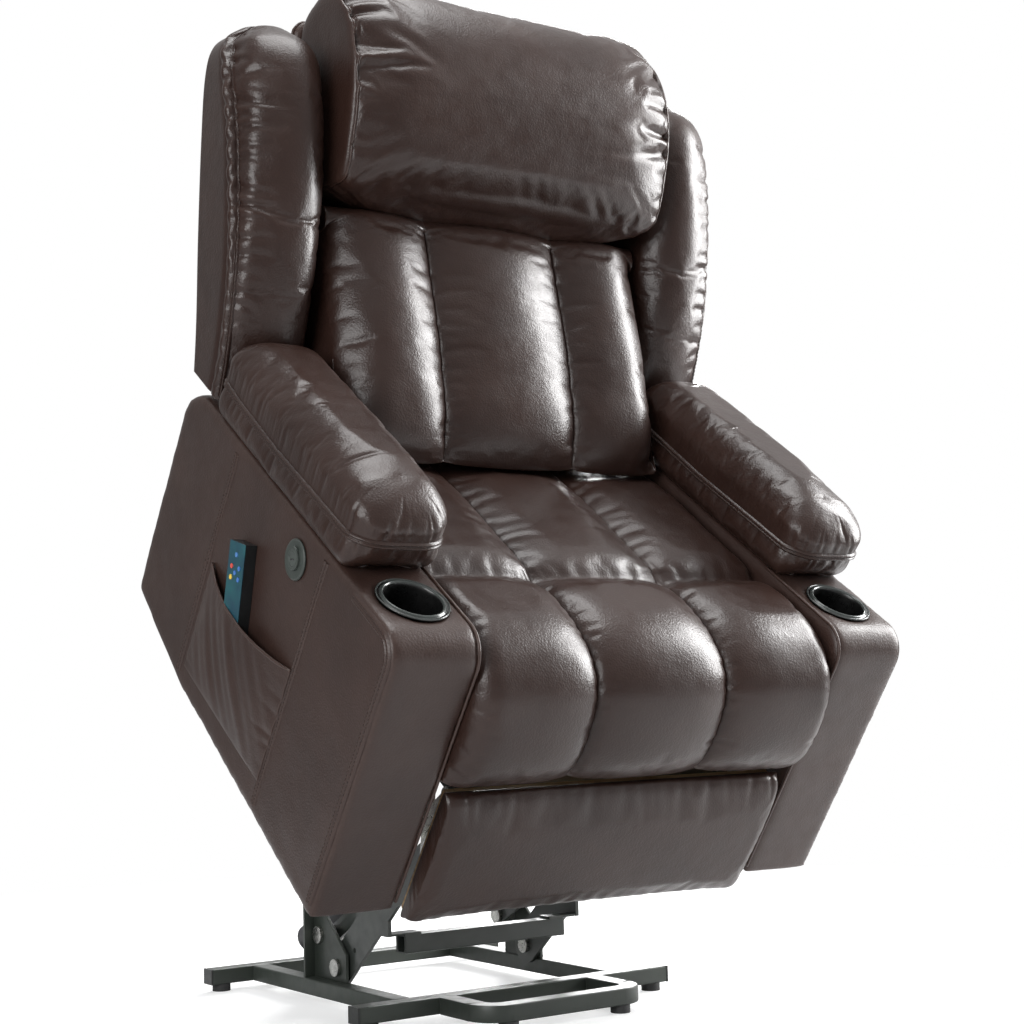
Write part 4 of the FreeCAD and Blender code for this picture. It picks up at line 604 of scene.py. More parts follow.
def seat_cushion():
    """Three channels with puckered seams, front rolls and a lip that tucks under."""
    half, seam = 315.4, 115.0
    rear = smooth([(556, 418), (505, 427), (440, 432), (345, 431), (268, 429), (226, 424), (205, 412)], 46)
    front = smooth([(205, 412), (186, 424), (152, 433), (106, 434), (60, 428), (22, 414), (-4, 395),
                    (-23, 370), (-34, 342), (-38, 312), (-39, 282), (-35, 254), (-25, 231), (-8, 212)], 76)
    under = even([(-8, 212), (12, 216), (12, 275.3), (556, 275.3), (556, 418)], 46)
    ring = np.vstack([rear[:-1], front[:-1], under[:-1]])
    out = normals(ring)
    count = len(ring)
    at = np.arange(count)
    crease = len(rear) - 1
    lip = crease + len(front) - 1
    depth = np.interp(at, [0, 8, crease - 12, crease, crease + 6, crease + 30, lip - 8, lip, lip + 3],
                      [6, 13, 15, 12, 20, 27, 20, 9, 0])
    round_off = np.interp(at, [0, 6, crease, crease + 8, lip - 6, lip], [10, 16, 20, 34, 34, 12])
    round_off[lip + 1:] = 0
    along = travelled(ring)
    stations = channel_stations(half, seam, 34)
    shown = np.interp(at, [0, crease, lip - 2, lip + 2], [0.5, 1, 1, 0])
    points = []
    for x, value in stations:
        sink = depth * (1 - value) + rolled_end(x, half, 36.0) / 36.0 * round_off
        nearest = min(abs(abs(x) - seam), half - abs(x))
        puckers = gathers(along, nearest, 26.0, 3.2, 34.0, 11 if x < 0 else 23) * shown
        from_crease = np.abs(along - along[crease])
        sink = sink - puckers - gathers(np.full(count, x), from_crease, 31.0, 2.6, 42.0, 5)
        from_lip = np.abs(along - along[lip])
        sink = sink - gathers(np.full(count, x), from_lip, 27.0, 3.0, 34.0, 8) * shown
        flat = ring - out * sink[:, None]
        points.append(section(x, flat))
    rested = np.interp(at, [0, 3, 10, crease - 3, crease, crease + 3, lip - 4, lip],
                       [1, 0.8, 0, 0, 1, 0, 0, 1])
    rested[lip:] = 1
    points, faces = settled_channels(points, stations, rested, half, 0.012)
    points[:, 2] = np.minimum(points[:, 2], 434.5)
    padded_cover("seat_cushion", points, faces, ON_CHAIR)


# The backrest's cushion


def back_cushion():
    """Three upright channels, tucked in below the pillow and over the seat."""
    half, seam = 295.6, 122.0
    front = smooth([(-124, 432), (-138, 424), (-148, 402), (-166, 350), (-185, 298), (-203, 245), (-217, 190),
                    (-228, 148), (-232, 110), (-230, 78), (-222, 54), (-212, 43)], 84)
    under = even([(-212, 43), (-33.3, 133), (-33.3, 432), (-124, 432)], 50)
    ring = np.vstack([front[:-1], under[:-1]])
    out = normals(ring)
    count = len(ring)
    at = np.arange(count)
    foot = len(front) - 1
    depth = np.interp(at, [0, 4, foot - 10, foot, foot + 2], [14, 26, 24, 8, 0])
    round_off = np.interp(at, [0, 4, foot - 4, foot], [30, 62, 56, 14])
    round_off[foot + 1:] = 0
    along = travelled(ring)
    stations = channel_stations(half, seam, 34)
    shown = np.interp(at, [0, 6, foot - 2, foot + 1], [0.6, 1, 1, 0])
    points = []
    for x, value in stations:
        sink = depth * (1 - value) + rolled_end(x, half, 70.0) / 70.0 * round_off
        nearest = min(abs(abs(x) - seam), half - abs(x))
        sink = sink - gathers(along, nearest, 44.0, 2.2, 30.0, 31 if x < 0 else 43) * shown
        flat = ring - out * sink[:, None]
        points.append(section(x, flat))
    rested = np.interp(at, [0, 3, 10, foot - 6, foot], [1, 0.7, 0, 0, 1])
    rested[foot:] = 1
    points, faces = settled_channels(points, stations, rested, half, 0.008)
    points[:, 1] = np.maximum(points[:, 1], -236.0)
    padded_cover("back_cushion", points, faces, ON_BACK)


# The head pillow: one smooth body with a curved seam and pleats at each end


def ahead(x, body):
    """A section of the pillow, kept ahead of the shell."""
    body[:, 0] = np.minimum(body[:, 0], -0.5)
    return section(x, body)


def head_pillow():
    """The pillow, pleated towards its ends, with a piping round each."""
    half = 302.0
    ring = smooth([(-0.6, 447), (-70, 440), (-145, 436), (-182, 449), (-198, 485), (-208, 540), (-213, 602),
                   (-206, 660), (-186, 711), (-156, 752), (-118, 778), (-72, 781), (-30, 760), (-8, 741),
                   (-0.6, 715), (-0.6, 600), (-0.6, 520)], 190, closed=True)[:-1]
    count = len(ring)
    out = normals(ring)
    heart = np.array([-104.0, 606.0])
    along = travelled(ring)
    front = np.clip((-ring[:, 0] - 20) / 90, 0, 1)
    upper = np.clip((ring[:, 1] - 500) / 140, 0, 1) * front
    seam_x = half - 9.0
    inner = np.sin(np.linspace(-1, 1, 97) * np.pi / 2) * seam_x
    points = []
    for x in inner:
        away = seam_x - abs(x)
        rounding = 1 - 0.13 * (1 - swell(np.clip(abs(x) / seam_x, 0, 1), 5.0, 0.5))
        pleats = gathers(along, away, 52.0, 17.0, 125.0, 61 if x < 0 else 77, 1.2) * upper
        pleats = pleats + gathers(along, away, 40.0, 6.0, 50.0, 63 if x < 0 else 79, 1.0) * front
        points.append(ahead(x, heart + (ring - heart) * rounding + out * pleats[:, None]))
    ends = [(0.862, half - 5.0), (0.83, half - 1.5), (0.76, half), (0.5, half - 1.0), (0.2, half - 2.0)]
    left = [ahead(-x, heart + (ring - heart) * share) for share, x in reversed(ends)]
    right = [ahead(x, heart + (ring - heart) * share) for share, x in ends]
    points = np.vstack(left + points + right)
    rows = len(inner) + 2 * len(ends)
    faces = closed_faces(rows, count)
    rested = np.tile(np.clip((ring[:, 0] + 40) / 30, 0, 1), rows)
    at_ends = np.clip((np.abs(points[:, 0]) - seam_x + 4.0) / 4.0, 0, 1)
    points = settled(points, faces, np.maximum(rested, at_ends), 0.009, 11.0)
    points[:, 0] = np.clip(points[:, 0], -half, half)
    points[:, 1] = np.minimum(points[:, 1], -0.5)
    padded_cover("head_pillow", points, faces, ON_BACK)
    for side, first in ((-1, len(ends)), (1, len(ends) + len(inner) - 1)):
        edge = points[first * count:(first + 1) * count]
        edge = edge[edge[:, 1] < -12.0] + (side * 1.0, 0.0, 0.0)
        cord(sided("head_pillow_piping", side), edge, 2.2, ON_BACK, SOFT)


# The wings at both sides of the backrest


def wing_ring(level, count=110):
    """A wing's section at a height: flat outer side, gathered band, roll and inner side."""
    heights = [90, 200, 340, 500, 610, 662, 690]
    inset = table(level, heights, [0, 0, 0, 0, 4, 14, 40])
    wide = table(level, heights, [0, 0, 4, 6, 4, -8, -40])
    seam = 166 * table(level, heights, [0.36, 0.57, 0.72, 0.66, 0.46, 0.31, 0.26])
    bulge = 166 * table(level, heights, [0.42, 0.71, 0.94, 1.0, 0.93, 0.78, 0.5])
    inner, outer = 308 + inset, 448 + wide
    width = outer - inner
    roll = smooth([(inner, -bulge * 0.5), (inner + 0.01 * width, -bulge * 0.74),
                   (inner + 0.15 * width, -bulge * 0.94), (inner + 0.42 * width, -bulge),
                   (inner + 0.70 * width, -bulge * 0.9 - seam * 0.06),
                   (inner + 0.88 * width, -(bulge * 0.64 + seam * 0.36)), (outer - 5, -seam - 9)], 62)
    band = smooth([(outer - 5, -seam - 9), (outer + 1.5, -seam - 2), (outer + 0.5, -seam + 7),
                   (outer - 2.0, -seam + 12)], 13)
    side = even([(outer - 2.0, -seam + 12), (outer + 0.4, -seam + 22), (outer, -0.6)], 18)
    rear = even([(outer, -0.6), (inner, -0.6), (inner, -bulge * 0.5)], count - 90)
    return np.vstack([roll[:-1], band[:-1], side[:-1], rear[:-1]])


def wing_heights(ring, share):
    """A ring's heights, from the wing's slanted foot at 0 to its top at 1."""
    top = 689.0
    floor = (148.5 + 0.4602 * ring[:, 1]) / 0.8878
    return floor + (top - floor) * share


def wing(side):
    """A wing with a gathered roll, a puffed band beside its seam and a flat outer side."""
    levels = np.r_[np.linspace(0, 0.9, 118), 0.9 + 0.1 * np.sin(np.linspace(0, np.pi / 2, 16))[1:]]
    rings = []
    for share in levels:
        ring = wing_ring(120.0)
        for _ in range(4):
            ring = wing_ring(float(np.mean(wing_heights(ring, share))))
        rings.append(np.column_stack([ring, wing_heights(ring, share)]))
    rings = np.array(rings)
    rows, count = rings.shape[:2]
    points = np.zeros((rows, count, 3))
    seam_at = 61
    for i in range(rows):
        out = normals(rings[i, :, :2])
        height = rings[i, :, 2]
        away = np.abs(np.arange(count) - seam_at) * 3.2
        before = np.arange(count) < seam_at
        fold = gathers(height, np.where(before, away, away * 2.5), 26.0, 9.0, 62.0, 101, 1.0)
        fold = fold * np.where(before, 1.0, 0.45)
        fold[seam_at] -= 2.6
        band = np.zeros(count)
        inside = np.arange(1, 12)
        puff = np.sin(np.pi * inside / 12) * np.clip((height[seam_at + inside] - 260) / 200, 0.15, 1)
        twist = np.sin(2 * np.pi * (height[seam_at + inside] / 31 + inside / 15))
        band[seam_at + inside] = puff * (4.5 + 1.5 * twist)
        band[seam_at + 12] = -2.0
        fold = fold * np.clip((height - 170) / 260, 0.1, 1)
        flat = rings[i, :, :2] + out * (fold + band)[:, None]
        flat[:, 1] = np.minimum(flat[:, 1], -0.5)
        points[i] = np.column_stack([side * flat[:, 0], flat[:, 1], height])
    crown = points[-1].mean(axis=0)
    extra = [crown + (points[-1] - crown) * share + np.array([0, 0, lift])
             for share, lift in ((0.86, 3.0), (0.6, 5.5), (0.3, 6.5))]
    points = np.vstack([points.reshape(-1, 3)] + extra)
    faces = closed_faces(rows + 3, count)
    tight = np.zeros(count)
    tight[seam_at - 1:seam_at + 1] = 1.0
    tight[seam_at + 12:] = 1.0
    held = np.tile(tight, rows + 3)
    held[:count * 3] = 1.0
    points = settled(points, faces, held, 0.012, 9.0)
    points[:, 0] = side * np.maximum(side * points[:, 0], 307.5)
    points[:, 1] = np.minimum(points[:, 1], -0.5)
    name = sided("wing", side)
    padded_cover(name, points, faces, ON_BACK)
    line = points[seam_at:rows * count:count][2:rows - 4]
    facing = np.tile((side * 0.80, -0.60, 0.0), (len(line), 1))
    sewn(name + "_seam", line + facing * 1.2, facing, ON_BACK, SOFT, 0.6, 2.6)


# The arm pads: a gusset from the deck up to a double-stitched seam, and a crowned top


PAD_MIDDLE = 382.0


def pad_plan(count=316):
    """The pad's plan, mirrored about its middle line: (x, b) from the rear round the nose and back."""
    outer, nose, rear = 460.6, 143.5, 633.5
    front, back = 52.0, 26.0
    line = [(PAD_MIDDLE, rear)]
    for angle in np.radians(np.linspace(90, 0, 10)):
        line.append((outer - back + back * np.cos(angle), rear - back + back * np.sin(angle)))
    for angle in np.radians(np.linspace(0, -90, 14)):
        line.append((outer - front + front * np.cos(angle), nose + front + front * np.sin(angle)))
    line.append((PAD_MIDDLE, nose))
    half = even(line, count // 2 + 1)
    other = half[::-1][1:-1] * (-1, 1) + (2 * PAD_MIDDLE, 0)
    return np.vstack([half, other])


def arm_pad(side):
    plan = pad_plan()
    count = len(plan)
    out = normals(plan)
    b = plan[:, 1]
    deck = 438.6
    seam_up = np.interp(b, [143, 180, 260, 420, 560, 634], [490, 487, 486, 483, 487, 494])
    along = travelled(plan)
    outside = np.clip((plan[:, 0] - PAD_MIDDLE) / 60, 0, 1)
    nose = np.clip((215 - b) / 60, 0, 1)
    overhang = 29.0 * np.clip((178 - b) / 34.0, 0, 1)
    rows = []
    for share in (0.0, 0.07, 0.16, 0.28, 0.42, 0.56, 0.70, 0.82, 0.91, 0.97):
        up = deck + (seam_up - deck) * share
        belly = 5.0 * (1 - (2 * share - 0.9) ** 2)
        shift = 8.0 - belly + overhang * (1 - share) ** 1.3 + 9.0 * (1 - share) ** 6
        away = (1 - share) * (seam_up - deck)
        fold = gathers(along, away, 22.0, 2.0, 26.0, 131) * (0.35 + nose)
        fold = fold + gathers(along, away, 19.0, 2.6, 20.0, 133) * nose
        rows.append(np.column_stack([plan - out * (shift - fold)[:, None], up]))
    rows.append(np.column_stack([plan - out * 6.4, seam_up]))
    spine = np.column_stack([np.full(count, PAD_MIDDLE), np.clip(b, 222.0, 580.0)])
    cross = np.abs(b - 262.0)
    for share in np.r_[0.012, 0.03, 0.055, 0.085, 0.12, 0.16, np.linspace(0.21, 0.93, 17)]:
        edge = plan - out * (5.0 * np.exp(-(share / 0.03) ** 2) + 0.4)[..., None]
        spot = edge + (spine - edge) * share
        crown = np.interp(spot[:, 1], [143, 172, 210, 262, 340, 480, 600, 634],
                          [528, 545, 557, 564, 566, 567, 566, 558])
        rise = (crown - seam_up) * (1 - (1 - share) ** 3.0) ** (1 / 3.0)
        reach = np.linalg.norm(spot - plan, axis=1) + rise
        strength = np.interp(b, [143, 230, 330, 634], [1.5, 1.1, 0.8, 0.7])
        fold = gathers(along, reach, 20.0, 4.6, 58.0, 137) * strength
        fold = fold * (0.25 + 0.75 * np.maximum(outside, nose))
        lean = np.clip(1 - share / 0.25, 0, 1)
        seam = 3.4 * np.exp(-(cross / 4.5) ** 2) * np.clip(1.1 - share, 0, 1) * outside
        tuck = 1.3 * wander(spot[:, 1] + 0.6 * spot[:, 0], 150.0, 139) * share
        spot = spot + out * (fold * lean)[:, None]
        rows.append(np.column_stack([spot, seam_up + rise + fold * (1 - lean) - seam + tuck]))
    faces = closed_faces(len(rows), count)
    held = np.zeros((len(rows), count))
    held[:2] = 1.0
    held[10] = 1.0
    held[9] = held[11] = 0.6
    points = settled(np.vstack(rows), faces, held.ravel(), 0.014, 9.0)
    points[:, 0] = side * np.clip(points[:, 0], 303.3, 463.0)
    points[:, 1] = np.clip(points[:, 1], 141.0, 633.8)
    points[:, 2] = np.clip(points[:, 2], 438.4, 571.0)
    name = sided("arm_pad", side)
    padded_cover(name, points, faces, ON_CHAIR)
    at_seam = np.column_stack([plan - out * 4.6, seam_up])
    facing = np.column_stack([out, np.zeros(count)])
    at_seam[:, 0] *= side
    facing[:, 0] *= side
    sewn(name + "_seam", at_seam, facing, ON_CHAIR, SOFT, 0.75, 2.6)


# The footrest's pad


def footrest_pad():
    """One smooth pad over the board, gathered along its top and foot."""
    half = 297.5
    outline = [(9.6, -12), (2, -17.5), (-9, -15), (-16, -2), (-20, 40), (-22, 95), (-21, 145), (-17, 178),
               (-8, 193), (3, 196.5), (9.6, 190), (9.6, 140), (9.6, 90), (9.6, 40)]
    ring = smooth(outline, 110, closed=True)[:-1]
    out = normals(ring)
    count = len(ring)
    front = np.clip((6 - ring[:, 0]) / 8, 0, 1)
    from_top = np.clip(196 - ring[:, 1], 0, None)
    stations = np.sin(np.linspace(-1, 1, 110) * np.pi / 2) * half
    points = []
    for x in stations:
        sink = rolled_end(x, half, 22.0) / 22.0 * 9.0
        fold = gathers(np.full(count, x), from_top, 27.0, 2.4, 46.0, 151)
        fold = fold + gathers(np.full(count, x), np.clip(ring[:, 1] + 16, 0, None), 33.0, 1.4, 26.0, 157)
        flat = ring - out * ((sink - fold) * front)[:, None]
        points.append(section(x, flat))
    faces = closed_faces(len(stations), count)
    rested = np.tile(np.clip((ring[:, 0] + 6) / 8, 0, 1), len(stations))
    points = settled(np.vstack(points), faces, rested, 0.006, 6.0)
    points[:, 0] = np.clip(points[:, 0], -half, half)
    points[:, 1] = np.minimum(points[:, 1], 9.7)
    padded_cover("footrest_pad", points, faces, (CHAIR, "footrest"))


# The arms' covered boxes


DECK = 438.0
CORNER = 48.0


def box_edge(offset, low, deck_end):
    """A line on an arm box's side, beside its front edge, round the top corner and along the deck."""
    radius = CORNER - offset
    middle = DECK - CORNER
    line = [(offset, low), (offset, middle)]
    for angle in np.radians(np.linspace(180, 90, 12)):
        line.append((CORNER + radius * np.cos(angle), middle + radius * np.sin(angle)))
    line.append((deck_end, DECK - offset))
    return np.array(line)


def arm_boxes():
    """Padded panels over each box, with their seams, stitches and piping."""
    ripple = bpy.data.textures.new("ripple", "CLOUDS")
    ripple.noise_scale = 0.09
    ripple.noise_depth = 2
    for side in (-1, 1):
        thing = nodes[sided("arm_box", side)]
        dress(PANEL_LEATHER, sided("arm_box", side))
        modified(thing, "weld", "WELD", merge_threshold=0.00002)
        modified(thing, "cover", "REMESH", mode="VOXEL", voxel_size=0.006, use_smooth_shade=True)
        modified(thing, "soft", "SMOOTH", factor=0.5, iterations=22)
        modified(thing, "ripple", "DISPLACE", texture=ripple, texture_coords="LOCAL", strength=0.0022,
                 mid_level=0.5)
        tag = sided("arm", side)
        for part, line in (("_rear_seam", [(530, 46), (530, 420)]), ("_front_seam", [(215, 30), (215, 426)]),
                           ("_edge_seam", box_edge(13.0, 20.0, 130.0))):
            seam(tag + part, section(side * 450.3, line), (side, 0.0, 0.0), ON_CHAIR)
        cord(tag + "_piping", section(side * 318.5, box_edge(2.0, 16.0, 210.0)), 2.4, ON_CHAIR, PANEL)


# Small fittings


CUP_ACROSS = 380
CUP_BEHIND = 100


def cup_holder(side):
    """A turned ring and its black bore."""
    profile = [(0.4, -74), (30, -74), (37, -73), (39.2, -70), (39.6, -20), (40.0, -2), (40.6, 2.2),
               (42.0, 4.4), (43.8, 4.6), (45.2, 3.0), (46.2, 1.8), (48.6, 1.7), (49.6, 3.0), (50.4, 3.2),
               (51.0, 2.0), (51.0, 0.4), (41.9, 0.3), (41.9, -75.6), (0.4, -75.6)]
    thing = lathe(sided("cup_holder", side) + "_ring", profile, (side * CUP_ACROSS, CUP_BEHIND, DECK),
                  np.eye(3), "carriage", (GUNMETAL, "cup_gunmetal"))
    thing.data.materials.append(CUP_BLACK)
    for face in thing.data.polygons:
        spot = (CHAIR[0].T @ (np.array(face.center) - CHAIR[1])) * 1000
        reach = math.hypot(spot[0] - side * CUP_ACROSS, spot[1] - CUP_BEHIND)
        face.material_index = 1 if spot[2] < 439.5 or 46.0 < reach < 48.8 else 0
    return thing

ACROSS = np.array([[0.0, 0.0, -1.0], [0.0, 1.0, 0.0], [1.0, 0.0, 0.0]])
PORT = (290.0, 385.0)


def port_part(name, profile, outward, body):
    return lathe(name, profile, (-outward, *PORT), ACROSS, body, (PORT_PLASTIC, "port_plastic"))


def charging_port():
    """The port's ring, and its hinged cap with a raised ring and a thin black bar that is painted shade for
    the slit across the cap.
    """
    ring = [(11.2, -18), (11.2, 2.6), (12.0, 3.4), (25.0, 3.8), (27.6, 3.4), (28.8, 2.0), (29.0, 0.3),
            (20, 0.2), (20, -18)]
    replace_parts(port_part("charging_port_ring", ring, 450.0, "carriage"), "charging_port")
    cap = [(0.3, 0.0), (13.8, 0.0), (14.9, 0.5), (15.0, 1.5), (14.2, 2.1), (13.0, 2.2), (12.2, 1.6),
           (0.3, 1.6)]
    port_part("charging_port_cap", cap, 454.2, "port_flap")
    dress(PORT_PLASTIC, "charging_port_flap")
    turn = np.linspace(0, 2 * np.pi, 40)
    circle = section(-455.9, np.column_stack([PORT[0] + 10.6 * np.cos(turn), PORT[1] + 10.6 * np.sin(turn)]))
    flap = (CHAIR, "port_flap")
    cord("charging_port_cap_ring", circle, 0.7, flap, (PORT_PLASTIC, "port_plastic"))
    # The thin black bar across the cap is painted shade: it stands for the dark slit in the cap, where there
    # is only shade.
    cord("charging_port_slit_shade", [(-456.0, 285.5, 387.5), (-456.0, 294.5, 382.5)], 1.0, flap,
         (CUP_BLACK, "port_plastic"))


POUCH_FRONT = 217.0
POUCH_REAR = 510.0
POUCH_FOOT = 67


def side_pocket():
    """The slack pouch on the left arm, open at its dipping mouth."""
    columns, rows = 90, 60
    b = np.linspace(POUCH_FRONT, POUCH_REAR, columns)
    mouth = np.interp(b, [217, 260, 330, 400, 440, 480, 510], [252, 243, 236, 235, 238, 246, 256])
    mouth = smooth(np.column_stack([b[::9], mouth[::9]]), columns)[:, 1]
    slack = np.sin(np.clip((b - POUCH_FRONT) / (POUCH_REAR - POUCH_FRONT), 0, 1) * np.pi) ** 0.8
    points = []
    for share in np.linspace(0, 1, rows):
        up = POUCH_FOOT + (mouth - POUCH_FOOT) * share
        hang = np.sin(np.clip(share, 0, 1) * np.pi * 0.5) ** 0.7
        gap = 2.0 + 18.5 * slack * hang
        drape = 2.6 * wander(b * 0.9 - 0.75 * up, 96.0, 171) * slack * np.sin(share * np.pi) ** 0.6
        pull = gathers(up, b - POUCH_FRONT, 30.0, 2.2, 46.0, 173)
        pull = pull + gathers(up, POUCH_REAR - b, 26.0, 1.8, 34.0, 175)
        pull = pull + gathers(b, mouth - up, 19.0, 1.6, 24.0, 177) * 0.8
        x = 450.2 + np.clip(gap + drape + pull, 0.6, 22.5)
        points.append(np.column_stack([-x, b, up]))
    faces = grid_faces(rows, columns, wrap=False)
    thing = piece("side_pocket_pouch", np.vstack(points), faces, ON_CHAIR, PANEL)
    cord("side_pocket_hem", points[-1], 2.3, ON_CHAIR, PANEL)
    modified(thing, "thickness", "SOLIDIFY", thickness=0.0016, offset=0.0)
    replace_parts(thing, "side_pocket")
    subdivided(thing)


PANEL_SEAM = 205.0


def back_panel():
    """The covered rear panel: wide behind the wings, narrow behind the pillow and at its foot."""
    outline = [(0, 3), (200, 3), (285, 6), (286, 170), (300, 176), (412, 176), (424, 188), (424, 420),
               (424, 636), (410, 650), (318, 651), (301, 662), (301, 718), (286, 733), (200, 735), (0, 735)]
    half = even(outline, 150)
    ring = np.vstack([half, half[::-1][1:-1] * (-1, 1)])
    count = len(ring)
    out = normals(ring)
    spine = np.column_stack([np.zeros(count), ring[:, 1]])
    rows = []
    for height, inset in ((0.4, 1.5), (4.0, 0.0), (8.5, 0.5), (11.0, 2.5), (12.0, 6.0)):
        rows.append(np.column_stack([ring[:, 0] - out[:, 0] * inset, np.full(count, height),
                                     ring[:, 1] - out[:, 1] * inset]))
    edge = ring - out * 7.0
    for share in np.linspace(0.03, 0.985, 30):
        spot = edge + (spine - edge) * share
        swelled = 3.0 * (1 - np.exp(-share * 9))
        from_seam = np.abs(spot[:, 0]) - PANEL_SEAM
        groove = 2.6 * np.exp(-(from_seam / 5.0) ** 2)
        folds = 0.6 * wander(spot[:, 1] + 0.2 * spot[:, 0], 260.0, 191) * min(1.0, share * 6)
        pulls = gathers(spot[:, 1], np.abs(from_seam), 34.0, 1.5, 30.0, 193)
        rows.append(np.column_stack([spot[:, 0], 12.0 + swelled - groove + folds + pulls, spot[:, 1]]))
    points = np.vstack(rows)
    points[:, 1] = np.maximum(points[:, 1], 0.4)
    thing = piece("back_panel_cover", points, closed_faces(len(rows), count), ON_BACK, PANEL)
    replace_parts(thing, "back_shell")
    for side in (-1, 1):
        line = [(side * PANEL_SEAM, 14.0, 24.0), (side * PANEL_SEAM, 14.0, 714.0)]
        seam(sided("back_panel_seam", side), line, (0.0, 1.0, 0.0), ON_BACK)
    edge_line = np.column_stack([ring[:, 0], np.full(count, 11.0), ring[:, 1]])
    cord("back_panel_piping", np.vstack([edge_line, edge_line[:1]]), 2.5, ON_BACK, PANEL)
    subdivided(thing)


# Scene pieces


seat_cushion()
back_cushion()
head_pillow()
for side in (-1, 1):
    wing(side)
    arm_pad(side)
footrest_pad()
arm_boxes()
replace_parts(cup_holder(-1), "cup_holders")
cup_holder(1)
charging_port()
side_pocket()
back_panel()

dress(FRAME_PAINT, "base_crossbars", "base_side_rails", "base_front_loop", "pivot_bracket_left",
      "pivot_bracket_right", "lift_motor_clevis", "carriage_rails", "carriage_cross_tubes",
      "carriage_lift_lugs", "recline_motor_clevis", "lift_rod_clevis")
dress(LINK_PAINT, "lift_arm_left", "lift_arm_right", "lift_arm_crossbar", "lift_rear_links", "recline_crank")
dress(CAP_PLASTIC, "tube_end_caps", "power_control_box")
dress(RUBBER, "floor_feet")
dress(ZINC, "lower_pivot_bolts", "upper_pivot_bolts", "footrest_board_hinges", "back_hinges")
for way in ("rear_falling", "front_rising", "rear_rising", "front_falling"):
    dress(ZINC, "footrest_" + way + "_bars")
dress(ROD_STEEL, "lift_motor_rod", "recline_motor_rod")
dress(MOTOR_PLASTIC, "lift_motor", "recline_motor", "seat_vibration_motors", "back_vibration_motors")
dress(TIMBER, "footrest_board", "back_frame")
dress(DARK_TIMBER, "seat_frame")
dress(WEBBING, "seat_webbing")
dress(handset_skin(), "handset")
BLUE = (46, 96, 168)
KEY_COLOURS = {"lift_up": BLUE, "lift_down": BLUE, "back": BLUE, "massage": (196, 60, 48),
               "heat": (224, 178, 54), "power": (60, 110, 170)}
for key, shade in KEY_COLOURS.items():
    light = tuple(min(255, c + 16) for c in shade)
    dress(plastic("key_" + key, shade, light, 0.5), "handset_key_" + key)

eased(2.2, "base_crossbars", "base_side_rails", "base_front_loop", "lift_arm_crossbar")
eased(0.8, "pivot_bracket_left", "pivot_bracket_right", "lift_arm_left", "lift_arm_right", "lift_rear_links",
      "lower_pivot_bolts", "upper_pivot_bolts", "lift_motor_clevis")
eased(4.0, "handset")


# Light, floor and camera


def area_light(name, spot, target, width, height, power):
    lamp = bpy.data.lights.new(name, "AREA")
    lamp.shape = "RECTANGLE"
    lamp.size = width
    lamp.size_y = height
    lamp.energy = power
    thing = bpy.data.objects.new(name, lamp)
    scene.collection.objects.link(thing)
    thing.location = spot
    thing.rotation_euler = (Vector(target) - Vector(spot)).to_track_quat("-Z", "Y").to_euler()


def studio():
    """White to the camera, dim as light, and brighter to the right and above in reflections."""
    world = bpy.data.worlds.new("studio")
    scene.world = world
    n = Nodes(world)
    rays = n.add("LightPath").outputs
    seen = n.joined((rays["Is Camera Ray"], rays["Is Transmission Ray"]), "Math", operation="MAXIMUM")
    white = n.add("Background", Color=(1.0, 1.0, 1.0, 1.0), Strength=1.0)
    around = n.add("Background", Color=(0.9, 0.95, 1.0, 1.0), Strength=0.26)
    glossy = n.add("Background", Color=(1.0, 1.0, 1.0, 1.0))
    apart = n.fed(n.add("TexCoord").outputs["Generated"], 0, "SeparateXYZ").outputs
    sideways = n.ramp(apart["X"], -1.0, 1.0, 0.22, 0.7)
    upward = n.ramp(apart["Z"], -0.2, 0.7, 0.5, 1.3)
    n.link(n.joined((sideways, upward), "Math", operation="MULTIPLY"), glossy.inputs["Strength"])
    shown = n.joined((rays["Is Glossy Ray"], around.outputs[0], glossy.outputs[0]), "MixShader")
    shown = n.joined((seen, shown, white.outputs[0]), "MixShader")
    n.link(shown, n.tree.nodes["World Output"].inputs["Surface"])


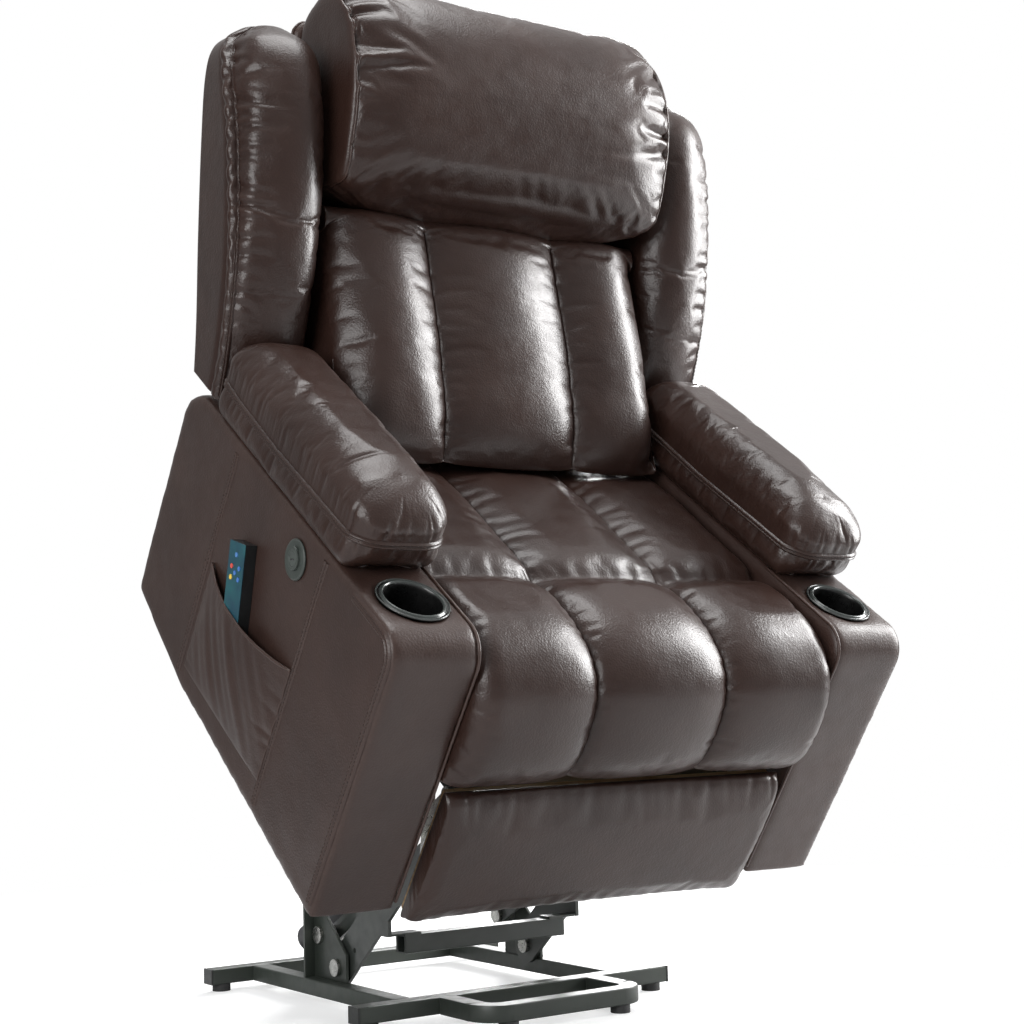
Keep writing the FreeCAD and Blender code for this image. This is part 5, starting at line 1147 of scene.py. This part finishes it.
def studio_floor():
    """A white floor that takes a soft shadow and fades to plain white around the chair."""
    data = bpy.data.meshes.new("floor")
    data.from_pydata([(-9, -9, 0), (9, -9, 0), (9, 9, 0), (-9, 9, 0)], [], [(0, 1, 2, 3)])
    floor = bpy.data.objects.new("floor", data)
    scene.collection.objects.link(floor)
    floor.location.z = -0.0006
    n = new_nodes("floor")
    matt = n.tree.nodes["Principled BSDF"]
    matt.inputs["Base Color"].default_value = (0.62, 0.62, 0.62, 1.0)
    matt.inputs["Roughness"].default_value = 0.9
    matt.inputs["Specular IOR Level"].default_value = 0.1
    near = n.joined((matt.outputs[0], n.add("Emission", Strength=0.54).outputs[0]), "AddShader")
    reach = n.fed(n.space, 0, "VectorMath", operation="LENGTH").outputs["Value"]
    fade = n.ramp(reach, 0.9, 2.2)
    seen = n.joined((fade, near, n.add("Emission", Strength=1.0).outputs[0]), "MixShader")
    direct = n.add("LightPath").outputs["Is Camera Ray"]
    chosen = n.joined((direct, matt.outputs[0], seen), "MixShader")
    n.link(chosen, n.tree.nodes["Material Output"].inputs["Surface"])
    data.materials.append(n.owner)


def photo_camera():
    """The camera, as it was fitted to the photo."""
    azimuth, elevation, roll = (math.radians(a) for a in (34.58, 5.48, -1.49))
    ahead = Vector((math.sin(azimuth) * math.cos(elevation), math.cos(azimuth) * math.cos(elevation),
                    math.sin(elevation)))
    level = Vector((math.cos(azimuth), -math.sin(azimuth), 0.0))
    upright = level.cross(ahead)
    right = level * math.cos(roll) + upright * math.sin(roll)
    above = upright * math.cos(roll) - level * math.sin(roll)
    data = bpy.data.cameras.new("camera")
    data.lens = 64.3
    data.sensor_width = 36.0
    camera = bpy.data.objects.new("camera", data)
    scene.collection.objects.link(camera)
    camera.matrix_world = Matrix((
        (right.x, above.x, -ahead.x, -1.6148),
        (right.y, above.y, -ahead.y, -2.4130),
        (right.z, above.z, -ahead.z, 0.4908),
        (0.0, 0.0, 0.0, 1.0)))
    scene.camera = camera


area_light("key_right", (3.0, -0.9, 1.9), (0.1, 0.0, 0.75), 1.3, 2.4, 190)
area_light("rim_right", (2.0, 2.2, 1.9), (0.1, 0.1, 0.9), 1.0, 2.2, 150)
area_light("fill_left", (-3.4, -1.6, 1.6), (0.0, 0.0, 0.6), 2.4, 2.0, 85)
area_light("top", (0.0, -0.3, 3.6), (0.0, 0.0, 0.8), 1.8, 1.8, 60)

studio()
studio_floor()
photo_camera()
scene.view_settings.view_transform = "Standard"
